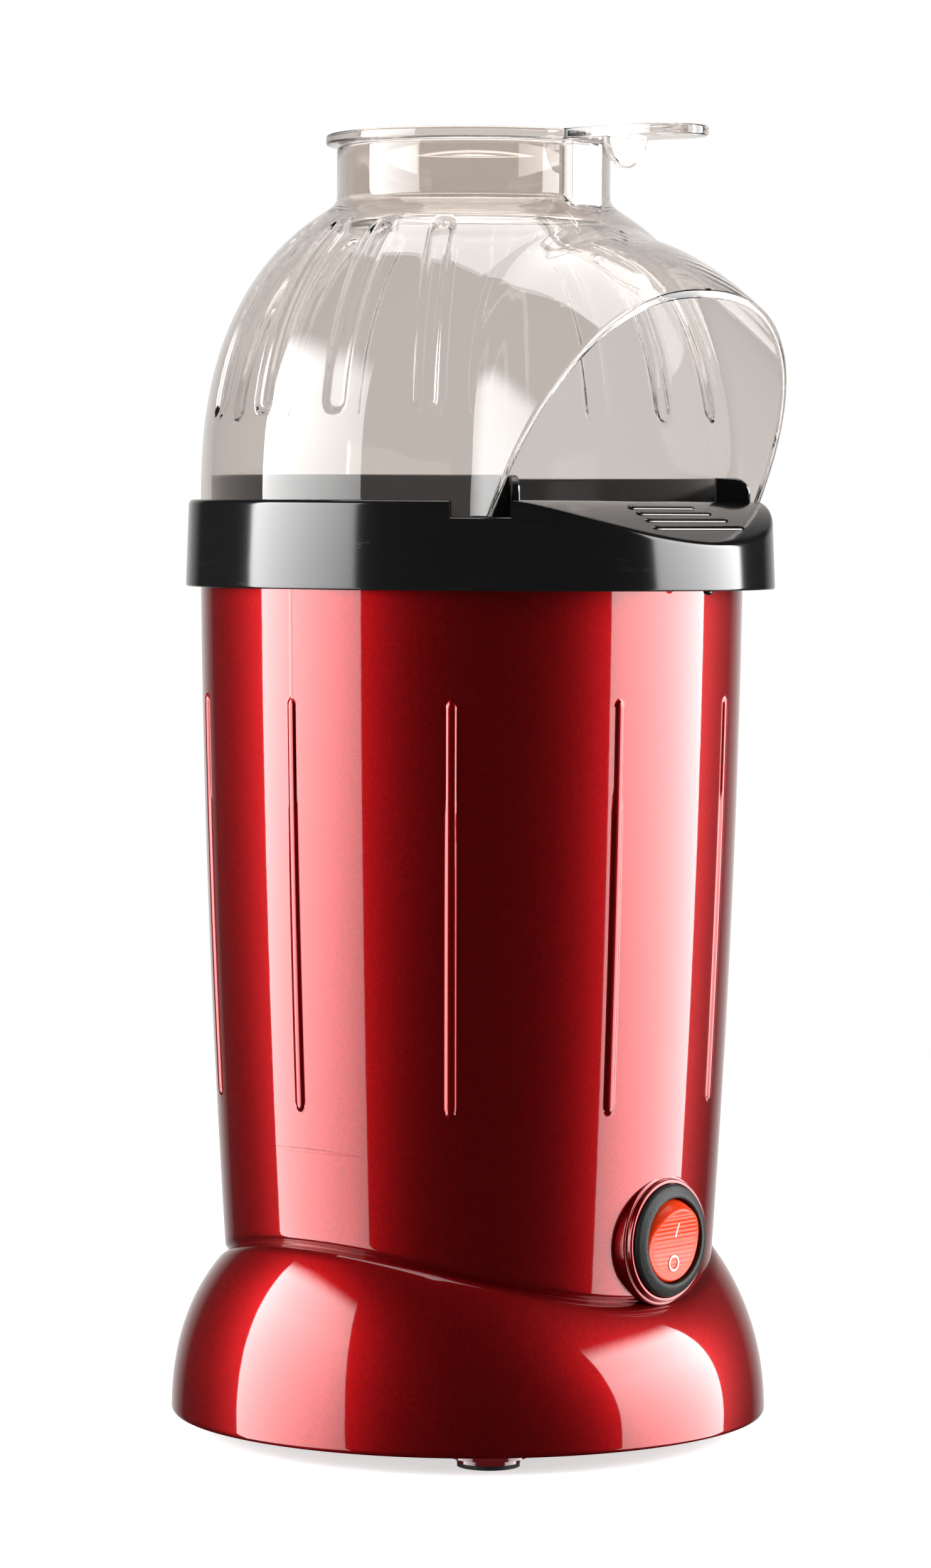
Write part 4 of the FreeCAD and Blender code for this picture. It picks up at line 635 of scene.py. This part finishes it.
def leaves(outside, start, direction, inset):
    """Halves the interval 44 times to find where a ray from the axis leaves a solid."""
    near, far = np.zeros(direction.shape[:-1]), np.full(direction.shape[:-1], 130.0)
    for _ in range(44):
        middle = (near + far) / 2
        out = outside(*(direction[..., i] * middle for i in (0, 1)), start + direction[..., 2] * middle, inset) > 0
        near, far = np.where(out, near, middle), np.where(out, middle, far)
    return near


def mouth_edge(angle, inset):
    """The mouth's arch: across = w cos^(2/n), height share = sin^(2/n), and forward leans 21 mm with the height."""
    u = np.sin(angle) ** (2 / 2.35)
    return (HOOD_HALF - inset) * np.cos(angle) ** (2 / 2.35), 40.5 + 21 * u, HOOD_FOOT + (45.2 - inset) * u


# %% Rows and columns of the cover
FLUTES, FLUTE_HALF, FLUTE_DEPTH, BLEND = np.arange(60, 181, 20), 2.3, 0.8, 2.4
MOUTH_ROWS, CROWN_ROWS, FRONT_COLUMNS = 74, 44, 34
mouth_angle = np.linspace(0, np.pi / 2, MOUTH_ROWS)
w_inside = np.array([0, 0.3, 0.55, 0.66, 0.72, 0.78, 0.84, 0.9, 1.0])
w_cell = np.concatenate([w_inside, 1 + np.linspace(0, 1, 5)[1:]])
cell = np.concatenate([-w_cell[:0:-1], w_cell])


def cover_skin(inset):
    """Rows from the foot to the crown and columns from the mouth to the back, for one half of a skin."""
    x, forward, z = mouth_edge(mouth_angle, inset)
    z = np.where(mouth_angle == 0, HOOD_FOOT, z)
    rise = np.maximum(np.arctan2(z - CENTRE, np.hypot(x, forward)), 0)
    start = np.minimum(z, CENTRE)
    first = np.arctan2(x, forward)
    first[-1] = 0.0
    crown_end = np.radians(59.6)
    crown = rise[-1] + (crown_end - rise[-1]) * np.linspace(0, 1, CROWN_ROWS + 1)[1:]
    rise = np.concatenate([rise, crown])[:, None]
    start = np.concatenate([start, np.full(CROWN_ROWS, CENTRE)])[:, None]
    first = np.concatenate([first, np.zeros(CROWN_ROWS)])[:, None]
    straight = np.dstack([np.zeros_like(rise), np.cos(rise), np.sin(rise)])
    girth = leaves(outside_dome, start, straight, 0.0) * np.cos(rise)
    half = 3.6 * 50.0 / girth
    spread = np.where(np.abs(cell) <= 1, np.abs(cell) * half, half + (10 - half) * (np.abs(cell) - 1))
    turns = np.hstack([place + np.sign(cell) * spread for place in FLUTES])
    turns = turns[:, np.r_[0, 1 + np.flatnonzero(np.diff(turns[0]) > 0.02)]]
    turns = np.radians(turns[:, turns[0] <= 180.001])
    front = first + (np.radians(50.0) - first) * np.linspace(0, 1, FRONT_COLUMNS + 1)[:-1]
    turns = np.hstack([front, turns])
    direction = np.stack([np.sin(turns) * np.cos(rise), np.cos(turns) * np.cos(rise), np.sin(rise) + 0 * turns], -1)
    dome = leaves(outside_dome, start, direction, inset)
    hood = leaves(outside_hood, start, direction, inset + 0.4 * (inset > 0))
    hood = np.where(direction[..., 1] > 0.08, hood, 0.0)
    near = np.clip(1 - np.abs(dome - hood) / BLEND, 0, 1)
    reach = np.maximum(dome, hood) + near ** 2 * BLEND / 4 * (1 - 0.999 * (np.arange(turns.shape[1]) == 0))
    level = start + reach * np.sin(rise)
    offset = (np.degrees(turns) + 10) % 20 - 10
    across = np.radians(offset) * reach * np.cos(rise)
    past = np.maximum(np.abs(level - 230.2) - 19.2 + FLUTE_HALF, 0)
    depth = FLUTE_DEPTH * smooth_step((FLUTE_HALF - np.hypot(across, past)) / 1.2 + 0.5) * (np.degrees(turns) > 54)
    reach = reach - depth
    return turns, reach * np.cos(rise), start + reach * np.sin(rise)


outer_turn, outer_reach, outer_level = cover_skin(0.0)
inner_turn, inner_reach, inner_level = cover_skin(COVER_WALL)
print("cover skins:", outer_turn.shape, "foot reach", round(float(outer_reach[0].min()), 2))


# %% [markdown]
# The last rows turn up into the neck through a small fillet and come back down its bore. At the front the neck has a
# flat lug, so its radius there is the larger of the round and the flat. The foot drops into the groove, except at the
# hood's two tips, which stop in their notches.


# %% Neck, foot and mouth edge
def dome_height(radius, inset):
    return BASE + (HEIGHT - inset) * (1 - (radius / (COVER_RADIUS - inset)) ** POWER) ** (1 / POWER)


def fillet(start, corner, end, count):
    t = np.linspace(0, 1, count + 1)[1:, None, None]
    return (1 - t) ** 2 * start + 2 * t * (1 - t) * corner + t ** 2 * end


def pair(radius, level):
    return np.stack(np.broadcast_arrays(radius, level, column_turn)[:2], -1)


NECK_TOP, NECK, BORE = 266.4, 28.3, 26.7
column_turn = outer_turn[-1]
lug = 30.2 / np.cos(column_turn)
lug_share = 1 - smooth_step((np.abs(lug * np.sin(column_turn)) - 4.9) / 0.6)
lug_share[column_turn > 0.5] = 0.0
neck = NECK + (lug - NECK) * lug_share
root = fillet(pair(outer_reach[-1], outer_level[-1]), pair(neck, dome_height(neck, 0.0)),
              pair(neck, dome_height(neck, 0.0) + 1.8), 6)
wall_levels = [257.0, 260.0, 263.0, 265.6, 266.0]
outside_neck = [pair(neck, z) for z in wall_levels] + [pair(neck - 0.15, 266.25), pair(neck - 0.4, NECK_TOP)]
inside_neck = [pair(BORE + 0.3, NECK_TOP), pair(BORE + 0.1, 266.3), pair(BORE, 266.0)] + [
    pair(BORE, z) for z in (263.0, 260.0, 257.0)]
bore_root = fillet(pair(BORE, 254.8), pair(BORE, dome_height(BORE, COVER_WALL)),
                   pair(inner_reach[-1], inner_level[-1]), 5)[:-1]
neck_rows = np.concatenate([root, outside_neck, inside_neck, [pair(BORE, 254.8)], bore_root])
foot_drop = 1.7 * smooth_step((np.degrees(outer_turn[0]) - 50.5) / 1.5) + 0.2
foot_rows = [(outer_turn[:1], outer_reach[:1] - inset, outer_level[:1] - foot_drop * drop)
             for inset, drop in ((0.35, 1.0), (0.0, 0.85), (0.0, 0.4))]
back_rows = [(inner_turn[:1], inner_reach[:1] + inset, inner_level[:1] - foot_drop * drop)
             for inset, drop in ((0.0, 0.4), (0.0, 0.85), (0.35, 1.0))]
rows = foot_rows + [(outer_turn, outer_reach, outer_level)]
rows += [(np.broadcast_to(column_turn, neck_rows.shape[:2]), neck_rows[..., 0], neck_rows[..., 1])]
rows += [(inner_turn[::-1], inner_reach[::-1], inner_level[::-1])] + back_rows
turns, reach, level = (np.vstack([row[i] for row in rows]) for i in range(3))
half_cover = about(reach, turns, level)
half_cover[:, -1, 0] = 0.0
crown_first = len(foot_rows) + MOUTH_ROWS - 1
crown_last = len(turns) - len(back_rows) - MOUTH_ROWS
half_cover[crown_first:crown_last + 1, 0, 0] = 0.0
mirrored = half_cover * [-1, 1, 1]
outer_edge = half_cover[:crown_first + 1, 0]
inner_edge = half_cover[::-1, 0][:crown_first + 1]
middle, out = (outer_edge + inner_edge) / 2, (outer_edge - inner_edge) / 2
ahead = np.array([0, 45.2, -21.0]) / np.hypot(45.2, 21.0)
bulge = np.linalg.norm(out, axis=1, keepdims=True) * 0.4
lip_angle = np.radians(np.linspace(0, 180, 7))[None, :, None]
lip = middle[:, None] + out[:, None] * np.cos(lip_angle) + ahead * bulge[:, None] * np.sin(lip_angle)
lip[0, :, 2] = np.maximum(lip[0, :, 2], outer_edge[0, 2])
cover = piece("clear_cover", [net(half_cover, True), net(mirrored, True), net(lip), net(lip * [-1, 1, 1])],
              clear_cover, "cover", ["dome_cover"], crease=60.0)

# %% [markdown]
# ## The measuring cup
#
# One clear moulding: a flat-bottomed cup, a flange, a pull tab that reaches forward over the hood and a half-round fin
# under it to grip. The flange's outline is the larger of a circle and the tab, seen from the axis, so the cup is one
# grid again. The fin is a plate joined to it by a Boolean, because two clear skins inside each other would show.

# %% Cup
CUP_OUT, CUP_IN, CUP_LOW, RIM_UNDER, RIM_TOP, RIM = 26.3, 24.8, 248.8, 266.7, 268.8, 30.6
turn = np.radians(crowded(-180.0, 180.0, 2.4, [-11.5, 0.0, 11.5], 5.0, 25))
away = np.abs(turn)
tip = 50.5 * np.cos(away) + np.sqrt(np.maximum(8.5 ** 2 - (50.5 * np.sin(away)) ** 2, 0))
side = 4.33 / np.maximum(np.sin(away) - 0.0826 * np.cos(away), 1e-3)
tab = np.where(away < np.radians(9.69), tip, np.where(away < 0.6, side, 0.0))
near = np.clip(1 - np.abs(tab - RIM) / 3.0, 0, 1)
rim = np.maximum(tab, RIM) + near ** 2 * 0.75
flat = np.zeros_like(turn)
corners = np.moveaxis(np.array([
    (flat, flat + CUP_LOW), (flat + CUP_OUT, flat + CUP_LOW), (flat + CUP_OUT, flat + RIM_UNDER),
    (rim, flat + RIM_UNDER), (rim, flat + RIM_TOP), (flat + CUP_IN, flat + RIM_TOP),
    (flat + CUP_IN, flat + CUP_LOW + 1.5), (flat, flat + CUP_LOW + 1.5)]), 1, -1)
outline = rounded(corners, [0, 1.4, 0.5, 0.6, 0.6, 0.6, 1.2, 0], 6)
bowl = about(outline[..., 0], turn[None], outline[..., 1])
arc = np.radians(np.linspace(180, 360, 25))
fin = plate(np.column_stack([6.5 * np.cos(arc), 267.5 + 6.8 * np.sin(arc)]), 1.8, 0.4)
fin = np.stack([fin[..., 0], 39.9 + fin[..., 2], fin[..., 1]], -1)
cup = piece("clear_cup", [net(bowl, True, True)], clear_cup, "cup", ["measuring_cup"], crease=50.0)
grip = piece("fin", [net(fin, True, False, True)], clear_cup, "cup")
carve(cup, grip, "UNION", 50.0)

# %% [markdown]
# ## The rocker switch
#
# A round panel switch. The bezel is a turned outline, slightly conical, with softened edges. The rocker's front is the
# lower of two surfaces, a plane bent at its middle and a ball about its pins, blended where they meet, and it has fine
# ribs across so that a finger finds it. The ring and the bar are prints that follow the rocker.

# %% Bezel
BEZEL_FACE, SWITCH_BACK, PIVOT, BALL = 54.8, 36.5, 50.5, 8.96
case = [(0, SWITCH_BACK), (9.85, SWITCH_BACK), (9.85, SWITCH_FACE), (11.5, SWITCH_FACE), (11.5, 53.9),
        (9.45, BEZEL_FACE), (8.75, 54.7), (8.65, 53.6), (9.3, 53.0), (9.3, SWITCH_BACK + 2), (0, SWITCH_BACK + 2)]
bezel = lathe(case, [0, 0.3, 0.1, 0.2, 0.7, 0.5, 0.3, 0.1, 0.1, 0.3, 0], 128, 5)
piece("switch_bezel", [net(facing_front(bezel, SWITCH_LEVEL), True, True)], bezel_nylon, "housing",
      ["switch_housing"])


# %% Rocker
def rocker_front(x, up):
    """Lower of the bent plane and the ball, blended over 0.6 mm, with ribs 0.9 mm apart on the plane."""
    plane = 54.2 + np.maximum(up, 0) * np.tan(np.radians(20.0))
    plane = plane + 0.25 * np.exp(-(up / 1.2) ** 2)
    ball = PIVOT + np.sqrt(np.maximum(BALL ** 2 - x ** 2 - up ** 2, 0))
    near = np.clip(1 - np.abs(plane - ball) / 0.5, 0, 1)
    ribbed = smooth_step((5.6 - np.abs(up)) / 0.6) * smooth_step((7.3 - np.hypot(x, up)) / 0.5)
    ribs = 0.10 * ribbed * np.abs(np.cos(np.pi * up / 0.9)) ** 0.7
    return np.minimum(plane, ball) - near ** 2 * 0.125 + ribs * (plane < ball)


span = np.sin(np.linspace(-np.pi / 2, np.pi / 2, 121))
up = np.concatenate([span[span < -0.93], np.linspace(-0.92, 0.92, 165), span[span > 0.93]]) * BALL
width = np.sqrt(np.maximum(BALL ** 2 - up ** 2, 0))
across = np.sin(np.linspace(-np.pi / 2, np.pi / 2, 61))[None] * width[:, None]
up = up[:, None] + 0 * across
front = np.stack([across, rocker_front(across, up), up + SWITCH_LEVEL], -1)
back_level = np.maximum(46.5, PIVOT - np.sqrt(np.maximum(BALL ** 2 - across ** 2 - up ** 2, 0)))
back = np.stack([across, back_level, up + SWITCH_LEVEL], -1)
piece("rocker", [net(np.concatenate([front, back[::-1]]), True)], rocker_red, "rocker",
      ["switch_rocker"])
around_ring = np.linspace(0, 2 * np.pi, 64, endpoint=False)[None]
around_wire = np.linspace(0, 2 * np.pi, 10, endpoint=False)[:, None]
ring_radius = 1.45 + 0.24 * np.cos(around_wire)
x, v = ring_radius * np.cos(around_ring), ring_radius * np.sin(around_ring) - 4.5
ring_mark = np.stack([x, rocker_front(x, v * 0 - 4.5) + 0.1 + 0.08 * np.sin(around_wire), v + SWITCH_LEVEL], -1)
bar = np.linspace(-1, 1, 25)[None]
swell = np.sqrt(np.clip(1 - (np.abs(bar) - 0.9).clip(0) ** 2 / 0.01, 0, 1))
x, v = 0.24 * np.cos(around_wire) * swell, 2.3 + 1.6 * bar + 0 * around_wire
bar_mark = np.stack([x, rocker_front(x, v) + 0.05 + 0.08 * np.sin(around_wire) * swell, v + SWITCH_LEVEL], -1)
piece("switch_marks", [net(ring_mark, True, True), net(bar_mark, True)], mark_print, "rocker")

# %% [markdown]
# ## Studio
#
# A pale floor, and soft light of the kind used for product pictures: a tall soft box on each side, a weaker one
# overhead, and a white surround behind. The lacquer mirrors the two boxes as long bright bands, and the room on the
# viewer's side is dark, which gives the dark middle between them. Light bent through a clear wall sees a warm grey
# room and not the boxes, so the cover stays visible against the white. It can bounce many times inside a wall, and
# with the usual limit on bounces those paths would end black.

# %% Floor, lamps and surround
pale, tree, principled, place = blank("matt_white_board")
mottle = add(tree, "ShaderNodeTexNoise", {"Vector": place, "Scale": per_metre(60.0), "Detail": 3.0})
tone = add(tree, "ShaderNodeMix", {"Factor": mottle.outputs["Fac"], "A": linear("#f1f0ee"), "B": linear("#f7f6f5")},
           data_type="RGBA")
tree.links.new(tone.outputs["Result"], principled.inputs["Base Color"])
principled.inputs["Roughness"].default_value = 0.7
principled.inputs["Specular IOR Level"].default_value = 0.2
principled.inputs["Emission Color"].default_value = (1.0, 1.0, 1.0, 1.0)
principled.inputs["Emission Strength"].default_value = 0.6
floor_mesh = bpy.data.meshes.new("floor")
rim_turn = np.linspace(0, 2 * np.pi, 96, endpoint=False)
floor_rim = np.column_stack([np.cos(rim_turn), np.sin(rim_turn), 0 * rim_turn]) * 0.75
floor_mesh.from_pydata(floor_rim.tolist(), [], [list(range(96))])
floor_mesh.materials.append(pale)
floor = bpy.data.objects.new("floor", floor_mesh)
bpy.context.scene.collection.objects.link(floor)
floor.visible_glossy = False


def soft_box(name, bearing, distance, half_angle, low, high, radiance, fades):
    """An upright rectangle of light that faces the machine; the bearing is counted from the viewer's side. Its power
    is pi times its area times the radiance wanted. It fades across, downwards and softly at its upper hem."""
    width = 2 * distance * np.tan(np.radians(half_angle))
    lamp = bpy.data.lights.new(name, "AREA")
    lamp.shape, lamp.size, lamp.size_y = "RECTANGLE", width, high - low
    lamp.energy = np.pi * width * (high - low) * radiance
    lamp.use_nodes = True
    parts = add(lamp.node_tree, "ShaderNodeSeparateXYZ", {0: add(lamp.node_tree, "ShaderNodeNewGeometry").outputs[
        "Parametric"]})
    fall = add(lamp.node_tree, "ShaderNodeMapRange", {"Value": parts.outputs["X"], "To Min": fades[0],
                                                      "To Max": fades[1]})
    climb = add(lamp.node_tree, "ShaderNodeMapRange", {"Value": parts.outputs["Y"], "From Min": 0.25, "From Max": 0.65,
                                                       "To Min": 0.55, "To Max": 1.0})
    hem = add(lamp.node_tree, "ShaderNodeMapRange", {"Value": parts.outputs["Y"], "From Min": 1.0, "From Max": 0.84},
              interpolation_type="SMOOTHSTEP")
    strength = fall.outputs["Result"]
    for factor in (climb, hem):
        strength = add(lamp.node_tree, "ShaderNodeMath", {0: strength, 1: factor.outputs["Result"]},
                       operation="MULTIPLY").outputs[0]
    lamp.node_tree.links.new(strength, lamp.node_tree.nodes["Emission"].inputs["Strength"])
    bearing = np.radians(bearing)
    direction = towards * np.cos(bearing) + rightwards * np.sin(bearing)
    holder = bpy.data.objects.new(name, lamp)
    holder.location = Vector(direction * distance + [0, 0, (low + high) / 2])
    holder.rotation_euler = Vector(-direction).to_track_quat("-Z", "Y").to_euler()
    holder.visible_transmission = False
    bpy.context.scene.collection.objects.link(holder)


BOX_DISTANCE, BOX_LOW, BOX_HIGH = 0.9, -0.45, 0.78
soft_box("soft_box_left", -71.5, BOX_DISTANCE, 25.5, BOX_LOW, BOX_HIGH, 12.5, (1.3, 0.5))
soft_box("soft_box_right", 86.0, BOX_DISTANCE, 27.0, BOX_LOW, BOX_HIGH, 12.0, (0.7, 1.2))
overhead = bpy.data.lights.new("overhead", "AREA")
overhead.size, overhead.energy = 0.9, 9.0
holder = bpy.data.objects.new("overhead", overhead)
holder.location = (*(-towards[:2] * 0.2), 1.25)
bpy.context.scene.collection.objects.link(holder)
world = bpy.data.worlds.new("surround")
bpy.context.scene.world = world
world.use_nodes = True
tree = world.node_tree
tree.nodes.clear()
bearing = add(tree, "ShaderNodeTexCoord")
behind = add(tree, "ShaderNodeVectorMath", {0: bearing.outputs["Generated"], 1: tuple(-towards)},
             operation="DOT_PRODUCT")
share = add(tree, "ShaderNodeMapRange", {"Value": behind.outputs["Value"], "From Min": 0.80, "From Max": 0.97})
path = add(tree, "ShaderNodeLightPath")
tint = add(tree, "ShaderNodeMix", {"Factor": share.outputs["Result"], "A": linear("#2a2a2b"),
                                   "B": linear("#e3e0dd")}, data_type="RGBA")
through = add(tree, "ShaderNodeMath", {0: path.outputs["Transmission Depth"], 1: 1.0}, operation="MINIMUM")
tint = add(tree, "ShaderNodeMix", {"Factor": through.outputs[0], "A": tint.outputs["Result"],
                                   "B": linear("#dbd6d2")}, data_type="RGBA")
tint = add(tree, "ShaderNodeMix", {"Factor": path.outputs["Is Camera Ray"], "A": tint.outputs["Result"],
                                   "B": (1.0, 1.0, 1.0, 1.0)}, data_type="RGBA")
glow = add(tree, "ShaderNodeBackground", {"Color": tint.outputs["Result"], "Strength": 1.0})
add(tree, "ShaderNodeOutputWorld", {"Surface": glow.outputs["Background"]})
scene = bpy.context.scene
scene.view_settings.view_transform = "Standard"
scene.cycles.max_bounces, scene.cycles.glossy_bounces, scene.cycles.transmission_bounces = 28, 20, 24
